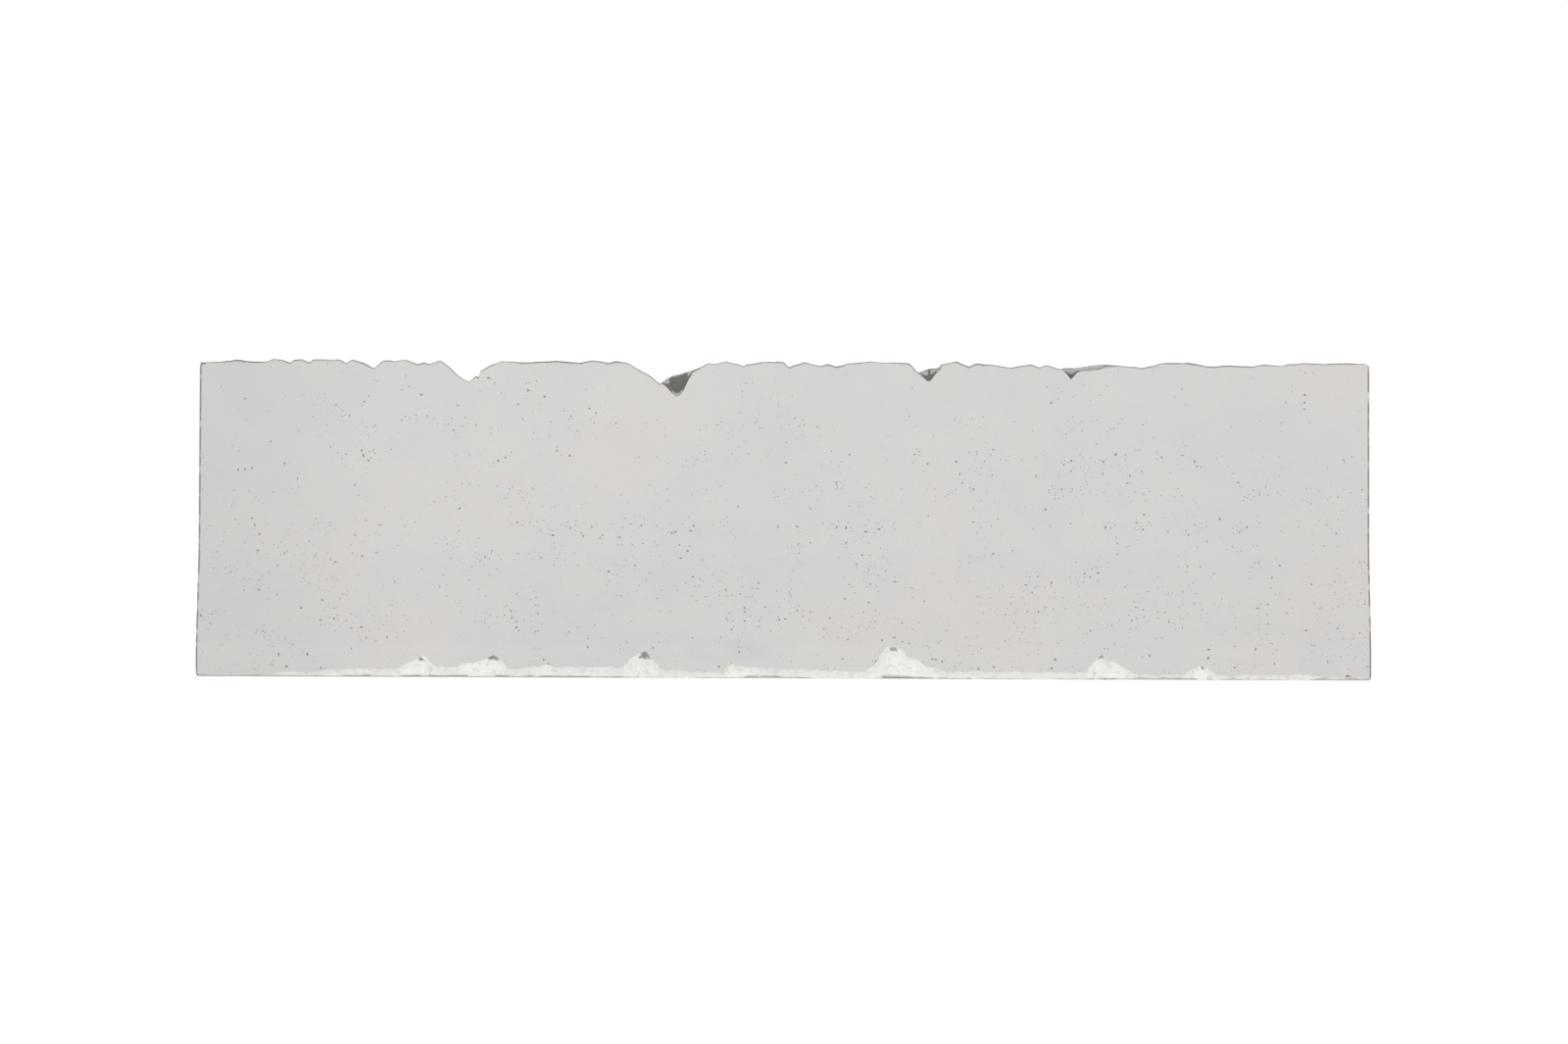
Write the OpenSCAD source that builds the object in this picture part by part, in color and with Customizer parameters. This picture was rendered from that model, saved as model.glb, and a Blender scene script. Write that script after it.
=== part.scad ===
// Precast concrete road barrier segment with a New Jersey section.
// Millimetres. +Z is up, +X runs along the segment and -Y is the front face.
// The origin is the middle of the underside.

/* [Concrete section] */
// Length of the segment
length = 3000; // [2400:10:3600]
// Height from the underside to the crown
height = 813; // [670:1:1000]
// Width of the foot
foot_w = 610; // [560:5:730]
// Height of the upright toe
toe_h = 75; // [60:5:90]
// Height at which the lower slope meets the upper slope
break_h = 330; // [275:5:400]
// Width at the change of slope
break_w = 254; // [225:1:300]
// Width of the crown
crown_w = 152; // [126:1:184]

/* [Reinforcement] */
// Concrete over the steel at the faces and the underside
cover = 40; // [30:1:48]
// Concrete over the steel at the crown
crown_cover = 70; // [60:1:90]
// Concrete over the ends of the long bars
end_cover = 40; // [30:1:60]
// Diameter of the bent stirrup bars
stirrup_d = 10; // [8:1:12]
// Radius of a stirrup's bends, on the centre line
bend_r = 25; // [20:1:30]
// Number of stirrups
stirrup_count = 12; // [8:1:14]
// Diameter of the long bars
bar_d = 16; // [12:1:20]
// Distance of the base bars from the middle
base_bar_y = 85; // [60:5:120]
// Gap between two bars where they are tied
tie_gap = 0.5; // [0.3:0.1:1]

/* [Key slots] */
// Outer width of the square slot tube
tube_w = 100; // [80:1:120]
// Wall of the slot tube
tube_t = 8; // [6:1:10]
// Width of the slot in the tube's end wall
slot_w = 40; // [30:1:50]
// Height of the inside of the tube's foot above the underside
tube_z = 150; // [120:5:200]
// Thickness of the plate that closes the tube's foot
seat_t = 10; // [8:1:15]
// Length of the anchor bars behind the tube
anchor_l = 380; // [250:10:450]
// Concrete between the slot tube and the first stirrup
tube_gap = 25; // [20:1:40]

/* [Lifting anchors] */
// Diameter of the anchor's head
head_d = 26; // [22:1:31]
// Height of the anchor's head
head_h = 9; // [7:1:12]
// Diameter of the anchor's shank
shank_d = 14; // [12:1:16]
// Diameter of the anchor's foot
anchor_foot_d = 35; // [28:1:40]
// Length of the anchor from foot to head
lift_l = 170; // [120:5:200]
// Depth of the anchor's head below the crown
head_drop = 10; // [8:1:12]
// Radius of the round recess about the head
recess_r = 37; // [34:1:44]

/* [Cover spacers] */
// Width of a spacer block along the segment
spacer_l = 40; // [30:1:50]
// Width of a spacer block across the segment
spacer_w = 30; // [25:1:50]
// Distance of the spacer blocks from the middle
spacer_y = 150; // [130:5:180]

/* [Hidden] */
SIDES = ["left", "right"];
FACES = ["front", "back"];
BAR_ROWS = ["foot", "base", "waist", "stem", "crown"];

// How far a cut runs past the surface that it opens
over = 1;
// Sides of a bent bar's section, and stations along each of its bends
rod_sides = 8;
bend_steps = 3;

concrete_grey = "#d4d2cf";
bar_brown = "#7b5a49";
steel_grey = "#8d8f90";
mortar_grey = "#a9a7a2";

function unit(v) = v / norm(v);
function left_of(v) = [-v[1], v[0]];
function turned(v, a) = [v[0] * cos(a) - v[1] * sin(a), v[0] * sin(a) + v[1] * cos(a)];
function turn_between(u, w) = atan2(u[0] * w[1] - u[1] * w[0], u * w);
function before(i, n) = (i + n - 1) % n;
function after(i, n) = (i + 1) % n;

// Outline of the section, from the back of the foot round to the front, in (y, z)
half_section = [[foot_w / 2, 0], [foot_w / 2, toe_h], [break_w / 2, break_h], [crown_w / 2, height]];
section = concat(half_section, [for (i = [3 : -1 : 0]) [-half_section[i][0], half_section[i][1]]]);

// Corner b of an outline moved inwards, by d1 from its first side and d2 from its second
function moved_in(a, b, c, d1, d2) =
    let (u = unit(b - a), w = unit(c - b), t = turn_between(u, w))
    b + left_of(u) * d1 + u * (d1 * cos(t) - d2) / sin(t);

// Stirrup centre line: the section without its toe, moved inwards by the cover
side_in = cover + stirrup_d / 2;
crown_in = crown_cover + stirrup_d / 2;
slope_run = (foot_w - break_w) / 2 / (break_h - toe_h);
heel_y = foot_w / 2 + toe_h * slope_run;
stirrup_outline = [[heel_y, 0], [break_w / 2, break_h], [crown_w / 2, height],
    [-crown_w / 2, height], [-break_w / 2, break_h], [-heel_y, 0]];
stirrup_insets = [side_in, side_in, crown_in, side_in, side_in, side_in];
stirrup_line = [for (i = [0 : 5]) moved_in(stirrup_outline[before(i, 6)], stirrup_outline[i],
    stirrup_outline[after(i, 6)], stirrup_insets[before(i, 6)], stirrup_insets[i])];

// Radius of the bend at a corner: bend_r, or less where its shorter leg is too short for it
function bend_at(line, i) =
    let (n = len(line), u = line[i] - line[before(i, n)], w = line[after(i, n)] - line[i])
    min(bend_r, 0.45 * min(norm(u), norm(w)) / tan(abs(turn_between(u, w)) / 2));

// Centre of the bend at a corner
function bend_centre(line, i) =
    let (n = len(line), u = unit(line[i] - line[before(i, n)]), w = unit(line[after(i, n)] - line[i]),
        t = turn_between(u, w), r = bend_at(line, i))
    line[i] - u * r * tan(abs(t) / 2) + left_of(u) * r * sign(t);

// The closed line with each corner rounded, as points
function rounded(line) = [for (i = [0 : len(line) - 1])
    let (n = len(line), u = unit(line[i] - line[before(i, n)]), w = unit(line[after(i, n)] - line[i]),
        t = turn_between(u, w), c = bend_centre(line, i), start = -left_of(u) * bend_at(line, i) * sign(t))
    for (k = [0 : bend_steps]) c + turned(start, t * k / bend_steps)];

// Distance of a stirrup's upper leg from the middle at height z
function leg_y(z) =
    let (low = stirrup_line[1], high = stirrup_line[2])
    low[0] + (high[0] - low[0]) * (z - low[1]) / (high[1] - low[1]);

stirrup_end_x = length / 2 - tube_w - tube_gap - stirrup_d / 2;
stirrup_pitch = 2 * stirrup_end_x / (stirrup_count - 1);
function stirrup_x(i) = -stirrup_end_x + (i - 1) * stirrup_pitch;
// The anchors stand halfway between two stirrups, the second and third from each end
lift_x = stirrup_end_x - 1.5 * stirrup_pitch;

// Places of the long bars in (y, z), for the back face; each touches the inside of the stirrups.
// A bend is drawn in bend_steps straight stretches, so its inside is a little nearer its centre
nest = (stirrup_d + bar_d) / 2 + tie_gap;
function in_bend(i) =
    let (n = len(stirrup_line), c = bend_centre(stirrup_line, i),
        t = turn_between(stirrup_line[i] - stirrup_line[before(i, n)],
            stirrup_line[after(i, n)] - stirrup_line[i]))
    c + unit(stirrup_line[i] - c) * (bend_at(stirrup_line, i) * cos(t / 2 / bend_steps) - nest);
waist_z = stirrup_line[1][1] + bar_d;
stem_z = (break_h + height) / 2;
// The crown bars keep clear of the anchors' shanks between them
crown_bar_y = max(in_bend(2)[0], (shank_d + bar_d) / 2 + tie_gap);
bar_places = [in_bend(0), [base_bar_y, side_in + nest], [leg_y(waist_z) - nest, waist_z],
    [leg_y(stem_z) - nest, stem_z], [crown_bar_y, in_bend(2)[1]]];

// A long bar runs to the end cover, or stops short of the slot tube where the tube is in its way
tube_inner_x = length / 2 - tube_w;
function bar_end_x(place) =
    let (beside = place[0] - bar_d / 2 > tube_w / 2 + 2, below = place[1] + bar_d / 2 < tube_z - seat_t - 2)
    beside || below ? length / 2 - end_cover : tube_inner_x - tube_gap;

// Heights of the anchor bars, as shares of the tube's height
anchor_levels = [0.15, 0.45, 0.75];
function anchor_z(level) = tube_z + level * (height - tube_z);
function anchor_y(z) = min(tube_w / 2 - tube_t - bar_d / 2, leg_y(z) - nest);

// Broken places on the arrises: middle, reach to the left and right, reach down the face, reach across
crown_spalls_front = [[-816, 65, 70, 48, 2000], [-316, 90, 117, 54, 2500], [-280, 60, 40, 90, 78],
    [370, 43, 32, 50, 210], [733, 42, 60, 43, 210]];
crown_spalls_back = [[-590, 34, 52, 26, 24], [560, 62, 40, 38, 34], [1180, 30, 38, 20, 22]];
foot_spalls_front = [[-926, 56, 50, 52, 20], [-743, 58, 55, 55, 22], [-605, 33, 30, 27, 14],
    [-357, 53, 62, 67, 28], [-110, 39, 36, 25, 14], [280, 58, 85, 82, 34], [816, 37, 83, 60, 25],
    [1072, 43, 33, 28, 14]];
foot_spalls_back = [[-1120, 44, 60, 46, 20], [-410, 70, 48, 62, 26], [205, 40, 44, 34, 18],
    [690, 66, 80, 72, 30]];

// Cut for a broken arris. The corner is at the origin with the concrete at +y and -z of it. The cut's
// root runs from rise below the corner, on the face, to run behind it, on the top.
module spall(left, right, rise, run) {
    slope = atan2(rise, run);
    behind = 400;
    ahead = 100;
    flank = 3;
    translate([0, 0, -rise]) rotate([90 + slope, 0, 0]) translate([0, 0, -behind])
        linear_extrude(behind + ahead)
            polygon(flank * [[0, 0], [right, rise * cos(slope)], [-left, rise * cos(slope)]]);
}

// The spalls of a list that lie on the segment, clear of its ends
module spalls(list) {
    for (s = list)
        if (abs(s[0]) + max(s[1], s[2]) < tube_inner_x - over)
            translate([s[0], 0, 0]) spall(s[1], s[2], s[3], s[4]);
}

module all_spalls() {
    translate([0, -crown_w / 2, height]) spalls(crown_spalls_front);
    translate([0, crown_w / 2, height]) mirror([0, 1, 0]) spalls(crown_spalls_back);
    translate([0, -foot_w / 2, 0]) mirror([0, 0, 1]) spalls(foot_spalls_front);
    translate([0, foot_w / 2, 0]) mirror([0, 1, 0]) mirror([0, 0, 1]) spalls(foot_spalls_back);
}

// A closed round bar about a line of (y, z) points, as one ring of corners at each point
module bent_bar(line, d) {
    n = len(line);
    corners = [for (i = [0 : n - 1])
        let (along = unit(unit(line[i] - line[before(i, n)]) + unit(line[after(i, n)] - line[i])),
            out = -left_of(along))
        for (k = [0 : rod_sides - 1])
            let (a = 360 * (k + 0.5) / rod_sides, p = line[i] + out * cos(a) * d / 2)
            [sin(a) * d / 2, p[0], p[1]]];
    faces = [for (i = [0 : n - 1]) for (k = [0 : rod_sides - 1])
        [i * rod_sides + k, after(i, n) * rod_sides + k,
            after(i, n) * rod_sides + after(k, rod_sides), i * rod_sides + after(k, rod_sides)]];
    polyhedron(corners, faces);
}

module stirrup(i) {
    color(bar_brown) translate([stirrup_x(i), 0, 0]) bent_bar(rounded(stirrup_line), stirrup_d);
}

// A straight bar along X
module rod_x(x1, x2, y, z) {
    translate([x1, y, z]) rotate([0, 90, 0]) cylinder(h = x2 - x1, d = bar_d, $fn = 32);
}

module long_bar(row, side) {
    place = bar_places[row];
    end = bar_end_x(place);
    color(bar_brown) rod_x(-end, end, side * place[0], place[1]);
}

// The next four are drawn for the right end; on_side puts them at the left end too
module on_side(s) {
    if (s == 0) mirror([1, 0, 0]) children();
    else children();
}

module slot_tube() {
    color(steel_grey) translate([tube_inner_x, 0, tube_z]) difference() {
        translate([0, -tube_w / 2, 0]) cube([tube_w, tube_w, height - tube_z]);
        translate([tube_t, tube_t - tube_w / 2, -over])
            cube([tube_w - 2 * tube_t, tube_w - 2 * tube_t, height - tube_z + 2 * over]);
        translate([tube_w / 2, -slot_w / 2, -over])
            cube([tube_w / 2 + over, slot_w, height - tube_z + 2 * over]);
    }
}

module seat_plate() {
    color(steel_grey) translate([tube_inner_x, -tube_w / 2, tube_z - seat_t]) cube([tube_w, tube_w, seat_t]);
}

module tube_anchor_bars() {
    color(bar_brown) for (level = anchor_levels, side = [-1, 1])
        rod_x(tube_inner_x - anchor_l, tube_inner_x, side * anchor_y(anchor_z(level)), anchor_z(level));
}

// A forged pin with a broad foot in the concrete and a round head in the recess
module lifting_anchor() {
    foot_flat = 4;
    foot_cone = (anchor_foot_d - shank_d) / 2;
    head_cone = (head_d - shank_d) / 2;
    color(steel_grey) translate([lift_x, 0, height - head_drop - lift_l]) rotate_extrude($fn = 48)
        polygon([[0, 0], [anchor_foot_d / 2, 0], [anchor_foot_d / 2, foot_flat],
            [shank_d / 2, foot_flat + foot_cone], [shank_d / 2, lift_l - head_h - head_cone],
            [head_d / 2, lift_l - head_h], [head_d / 2, lift_l], [0, lift_l]]);
}

// Blocks that hold the cage off the ground form, under the stirrups next to each end and at the middle
spacer_stirrups = [2, floor(stirrup_count / 2), stirrup_count - 1];
module cover_spacers(cut = 0) {
    color(mortar_grey) for (i = spacer_stirrups, side = [-1, 1])
        translate([stirrup_x(i) - spacer_l / 2, side * spacer_y - spacer_w / 2, -cut])
            cube([spacer_l, spacer_w, cover + cut]);
}

module concrete_body() {
    color(concrete_grey) difference() {
        translate([-length / 2, 0, 0]) rotate([90, 0, 90]) linear_extrude(length) polygon(section);
        for (s = [0, 1]) on_side(s) {
            translate([tube_inner_x, -tube_w / 2, tube_z - seat_t])
                cube([tube_w + over, tube_w, height - tube_z + seat_t + over]);
            tube_anchor_bars();
            lifting_anchor();
            translate([lift_x, 0, height]) sphere(r = recess_r, $fn = 48);
        }
        for (row = [0 : len(BAR_ROWS) - 1], side = [-1, 1]) long_bar(row, side);
        for (i = [1 : stirrup_count]) stirrup(i);
        cover_spacers(over);
        all_spalls();
    }
}

concrete_body();
for (row = [0 : len(BAR_ROWS) - 1], f = [0, 1])
    long_bar(row, 2 * f - 1);
for (i = [1 : stirrup_count])
    stirrup(i);
for (s = [0, 1]) {
    on_side(s) slot_tube();
    on_side(s) seat_plate();
    on_side(s) tube_anchor_bars();
    on_side(s) lifting_anchor();
}
cover_spacers();
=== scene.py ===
"""Looks of a precast concrete road barrier segment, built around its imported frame.

Everything is in metres: +X runs along the segment, -Y is the front face, +Z is up and the
ground is at z = 0. Sizes that describe breaks and finishes are written in millimetres and
scaled by MM where they are used.
"""

import logging
import math
from dataclasses import dataclass
from enum import Enum
from functools import reduce
from typing import Optional, Sequence, Union

import bpy
import numpy as np
from mathutils import Matrix, Vector


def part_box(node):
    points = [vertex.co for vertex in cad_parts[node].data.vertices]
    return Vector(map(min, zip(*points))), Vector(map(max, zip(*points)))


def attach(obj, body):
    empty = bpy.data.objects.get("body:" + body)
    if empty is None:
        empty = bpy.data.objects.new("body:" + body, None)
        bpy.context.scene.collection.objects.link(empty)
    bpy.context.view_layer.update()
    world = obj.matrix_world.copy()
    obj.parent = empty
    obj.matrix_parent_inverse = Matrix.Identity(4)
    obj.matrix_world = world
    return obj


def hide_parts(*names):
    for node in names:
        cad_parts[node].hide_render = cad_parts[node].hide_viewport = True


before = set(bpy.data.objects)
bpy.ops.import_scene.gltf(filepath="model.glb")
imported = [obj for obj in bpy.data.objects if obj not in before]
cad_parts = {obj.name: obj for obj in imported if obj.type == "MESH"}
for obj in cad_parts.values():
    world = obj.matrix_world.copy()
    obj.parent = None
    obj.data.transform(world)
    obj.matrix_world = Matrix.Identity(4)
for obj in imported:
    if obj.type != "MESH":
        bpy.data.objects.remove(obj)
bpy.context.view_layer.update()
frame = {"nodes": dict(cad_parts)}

MM = 0.001
SHARP_TURN = math.radians(35.0)
BODY = "root"
LOG = logging.getLogger("barrier")

Points = Sequence[tuple[float, float]]
Colour = tuple[float, float, float]


class Slot(Enum):
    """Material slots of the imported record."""

    CONCRETE = "concrete"
    REINFORCING = "reinforcing_steel"
    SLOT_STEEL = "slot_steel"
    ANCHOR = "anchor_steel"


class End(Enum):
    """The two ends of the segment, with the sign of their X."""

    LEFT = -1
    RIGHT = 1

    def node(self, stem: str) -> str:
        """Name of the node of this end, such as slot_tube_left."""
        return f"{stem}_{self.name.lower()}"


# ---------------------------------------------------------------- shapes


def unit(v: np.ndarray) -> np.ndarray:
    """Vectors of length one along the last axis."""
    return v / np.maximum(np.linalg.norm(v, axis=-1, keepdims=True), 1e-12)


def smooth_step(t: np.ndarray) -> np.ndarray:
    """Rises from 0 to 1 as t does, flat at both ends."""
    t = np.clip(t, 0.0, 1.0)
    return t * t * (3.0 - 2.0 * t)


def soften(points: np.ndarray, reach: np.ndarray, steps: int, closed: bool) -> np.ndarray:
    """Outline with each corner rounded.

    A corner becomes the quadratic curve that leaves its first side at reach before the corner
    and joins its second side at reach after it, with the corner itself as the control point.

    Args:
        points: Corners, one row each.
        reach: Reach of each corner's curve.
        steps: Points on each curve.
        closed: True if the last corner joins the first. An open outline keeps its two ends.

    Returns:
        The points of the rounded outline.
    """
    back = np.roll(points, 1, axis=0)
    ahead = np.roll(points, -1, axis=0)
    start = points - unit(points - back) * reach[:, None]
    stop = points + unit(ahead - points) * reach[:, None]
    t = np.linspace(0.0, 1.0, steps)[None, :, None]
    curve = (1 - t) ** 2 * start[:, None] + 2 * t * (1 - t) * points[:, None] + t**2 * stop[:, None]
    if closed:
        return curve.reshape(-1, points.shape[1])
    inner = curve[1:-1].reshape(-1, points.shape[1])
    return np.vstack([points[:1], inner, points[-1:]])


class LatticeNoise:
    """Seeded noise in -1..1: random values on a lattice, joined by smooth steps."""

    SIZE = 65536
    STRIDES = (73, 9176)
    LAYER_SHIFT = 7919
    FALL = 0.6

    def __init__(self, seed: int) -> None:
        """Draws the lattice values for a seed."""
        self.values = np.random.default_rng(seed).uniform(-1.0, 1.0, self.SIZE)

    def layer(self, u: np.ndarray, v: np.ndarray, number: int) -> np.ndarray:
        """One layer of noise at the lattice coordinates u and v.

        Args:
            u: First lattice coordinate.
            v: Second lattice coordinate.
            number: Number of the layer, which picks its own part of the values.

        Returns:
            Noise in -1..1.
        """
        i, j = np.floor(u).astype(int), np.floor(v).astype(int)
        a, b = smooth_step(u - i), smooth_step(v - j)
        shift = self.LAYER_SHIFT * number

        def corner(p: np.ndarray, q: np.ndarray) -> np.ndarray:
            """Lattice value at whole coordinates."""
            return self.values[(p * self.STRIDES[0] + q * self.STRIDES[1] + shift) % self.SIZE]

        low = corner(i, j) * (1 - a) + corner(i + 1, j) * a
        high = corner(i, j + 1) * (1 - a) + corner(i + 1, j + 1) * a
        return low * (1 - b) + high * b

    def at(
        self, x: np.ndarray, period: float, y: Union[np.ndarray, float] = 0.0, octaves: int = 3
    ) -> np.ndarray:
        """Layers of noise, each at twice the frequency and FALL times the height of the one before.

        Args:
            x: First coordinate.
            period: Lattice spacing of the first layer, in the unit of x and y.
            y: Second coordinate.
            octaves: Number of layers.

        Returns:
            Noise with a largest value near 1.
        """
        x, y = np.broadcast_arrays(np.asarray(x, float), np.asarray(y, float))
        total = np.zeros(x.shape)
        reach = 0.0
        for number in range(octaves):
            scale = 2.0**number / period
            total += self.FALL**number * self.layer(x * scale, y * scale, number)
            reach += self.FALL**number
        return total / reach


def grid_quads(rows: int, columns: int, looped: bool = False) -> np.ndarray:
    """Faces of a grid of closed rows of points, numbered row by row.

    Args:
        rows: Number of rows.
        columns: Points in a row.
        looped: True if the last row joins the first.

    Returns:
        Four corner numbers for each face.
    """
    across = np.arange(columns)
    nxt = (across + 1) % columns
    row = np.arange(rows if looped else rows - 1)[:, None]
    first, second = row * columns, (row + 1) % rows * columns
    return np.stack([first + across, first + nxt, second + nxt, second + across], axis=-1).reshape(-1, 4)


def new_piece(name: str, points: np.ndarray, faces: Sequence[Sequence[int]]) -> bpy.types.Object:
    """A mesh object at the origin, smooth except at sharp turns.

    Args:
        name: Name of the piece.
        points: Its vertices.
        faces: Corner numbers of each face, in order round its outward side.

    Returns:
        The object, linked to the scene.
    """
    mesh = bpy.data.meshes.new(name)
    mesh.from_pydata(points.tolist(), [], [list(f) for f in faces])
    mesh.validate()
    finish_mesh(mesh)
    made = bpy.data.objects.new(name, mesh)
    bpy.context.scene.collection.objects.link(made)
    return made


def finish_mesh(mesh: bpy.types.Mesh) -> None:
    """Smooth shading, with sharp edges from SHARP_TURN."""
    mesh.polygons.foreach_set("use_smooth", np.ones(len(mesh.polygons), bool))
    mesh.set_sharp_from_angle(angle=SHARP_TURN)
    mesh.update()


def loft(name: str, *stacks: np.ndarray, band: bool = False) -> bpy.types.Object:
    """Piece of one closed solid for each stack of closed rings, ended by flat faces.

    Args:
        name: Name of the piece.
        stacks: Arrays of ring, point, coordinate. Seen along a stack the points run clockwise.
        band: True if a ring runs out along a wall and back along its other side. The ends of a
            stack are then closed by quads across the wall, from point k to the k-th from the last.

    Returns:
        The object.
    """
    faces: list[list[int]] = []
    start = 0
    for rings in stacks:
        count, across = rings.shape[:2]
        lid = np.arange(across)[None, :]
        if band:
            out = np.arange(across // 2 - 1)
            lid = np.stack([out, out + 1, across - 2 - out, across - 1 - out], axis=1)
        for part in (grid_quads(count, across), lid[:, ::-1], lid + (count - 1) * across):
            faces += (part + start).tolist()
        start += count * across
    return new_piece(name, np.vstack([rings.reshape(-1, 3) for rings in stacks]), faces)


def lathe(name: str, profile: np.ndarray, centre: Vector, sides: int) -> bpy.types.Object:
    """Closed piece of revolution about a vertical axis.

    A profile point (r, z) becomes the circle (r cos a, r sin a, z) about the centre. The profile
    starts and ends on the axis, where its circle is a single pole.

    Args:
        name: Name of the piece.
        profile: Points (radius, height), from the lower pole up to the upper one.
        centre: Where the axis meets height zero.
        sides: Points on each circle.

    Returns:
        The object.
    """
    angle = np.linspace(0.0, 2.0 * math.pi, sides, endpoint=False)
    radius, height = profile[1:-1, 0][:, None], profile[1:-1, 1][:, None]
    level = np.broadcast_to(height, (len(radius), sides))
    circles = np.stack([radius * np.cos(angle), radius * np.sin(angle), level], axis=-1).reshape(-1, 3)
    poles = np.array([[0.0, 0.0, profile[0, 1]], [0.0, 0.0, profile[-1, 1]]])
    points = np.vstack([circles, poles]) + np.array(centre)
    faces = grid_quads(len(radius), sides).tolist()
    low, high = len(circles), len(circles) + 1
    last = (len(radius) - 1) * sides
    faces += [[low, (k + 1) % sides, k] for k in range(sides)]
    faces += [[high, last + k, last + (k + 1) % sides] for k in range(sides)]
    return new_piece(name, points, faces)


def carve(piece: bpy.types.Object, cutters: Sequence[bpy.types.Object]) -> None:
    """Takes the cutters out of a piece for good and removes them.

    Args:
        piece: Closed mesh that is cut.
        cutters: Closed meshes.
    """
    for cutter in cutters:
        step = piece.modifiers.new("carve", "BOOLEAN")
        step.operation = "DIFFERENCE"
        step.solver = "MANIFOLD"
        step.object = cutter
    bpy.context.view_layer.update()
    made = bpy.data.meshes.new_from_object(piece.evaluated_get(bpy.context.evaluated_depsgraph_get()))
    piece.modifiers.clear()
    old = piece.data
    piece.data = made
    made.name = piece.name
    bpy.data.meshes.remove(old)
    for cutter in cutters:
        mesh = cutter.data
        bpy.data.objects.remove(cutter)
        bpy.data.meshes.remove(mesh)
    finish_mesh(piece.data)


# ---------------------------------------------------------------- materials


def linear(red: float, green: float, blue: float) -> Colour:
    """Screen colour, 0 to 255, as linear light.

    Args:
        red: Red on the screen.
        green: Green on the screen.
        blue: Blue on the screen.

    Returns:
        The three channels, 0 to 1.
    """

    def channel(value: float) -> float:
        """One channel."""
        share = value / 255.0
        return share / 12.92 if share <= 0.04045 else ((share + 0.055) / 1.055) ** 2.4

    return channel(red), channel(green), channel(blue)


class Wire:
    """Output of a node, with arithmetic that adds Math nodes."""

    def __init__(self, tree: "Finish", socket: bpy.types.NodeSocket) -> None:
        """Wraps a socket of a material's tree."""
        self.tree = tree
        self.socket = socket

    def maths(self, operation: str, *values: Union["Wire", float]) -> "Wire":
        """A Math node on these values."""
        return self.tree.node("ShaderNodeMath", {"operation": operation}, dict(enumerate(values)))

    def __add__(self, other: Union["Wire", float]) -> "Wire":
        """Sum."""
        return self.maths("ADD", self, other)

    def __radd__(self, other: float) -> "Wire":
        """Sum, number first."""
        return self.maths("ADD", other, self)

    def __sub__(self, other: Union["Wire", float]) -> "Wire":
        """Difference."""
        return self.maths("SUBTRACT", self, other)

    def __rsub__(self, other: float) -> "Wire":
        """Difference, number first."""
        return self.maths("SUBTRACT", other, self)

    def __mul__(self, other: Union["Wire", float]) -> "Wire":
        """Product."""
        return self.maths("MULTIPLY", self, other)

    def __rmul__(self, other: float) -> "Wire":
        """Product, number first."""
        return self.maths("MULTIPLY", other, self)

    def __abs__(self) -> "Wire":
        """Size without its sign."""
        return self.maths("ABSOLUTE", self)

    def above(self, other: Union["Wire", float]) -> "Wire":
        """The larger of two values."""
        return self.maths("MAXIMUM", self, other)

    def rise(self, low: float, high: float) -> "Wire":
        """0 up to low, 1 from high, smooth between them. It falls where low is above high.

        Args:
            low: Value at which it is 0.
            high: Value at which it is 1.

        Returns:
            The smoothed share.
        """
        ends = {"From Min": low, "From Max": high, "To Min": 0.0, "To Max": 1.0}
        if low > high:
            ends = {"From Min": high, "From Max": low, "To Min": 1.0, "To Max": 0.0}
        settings = {"interpolation_type": "SMOOTHSTEP"}
        return self.tree.node("ShaderNodeMapRange", settings, {"Value": self, **ends})


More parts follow.
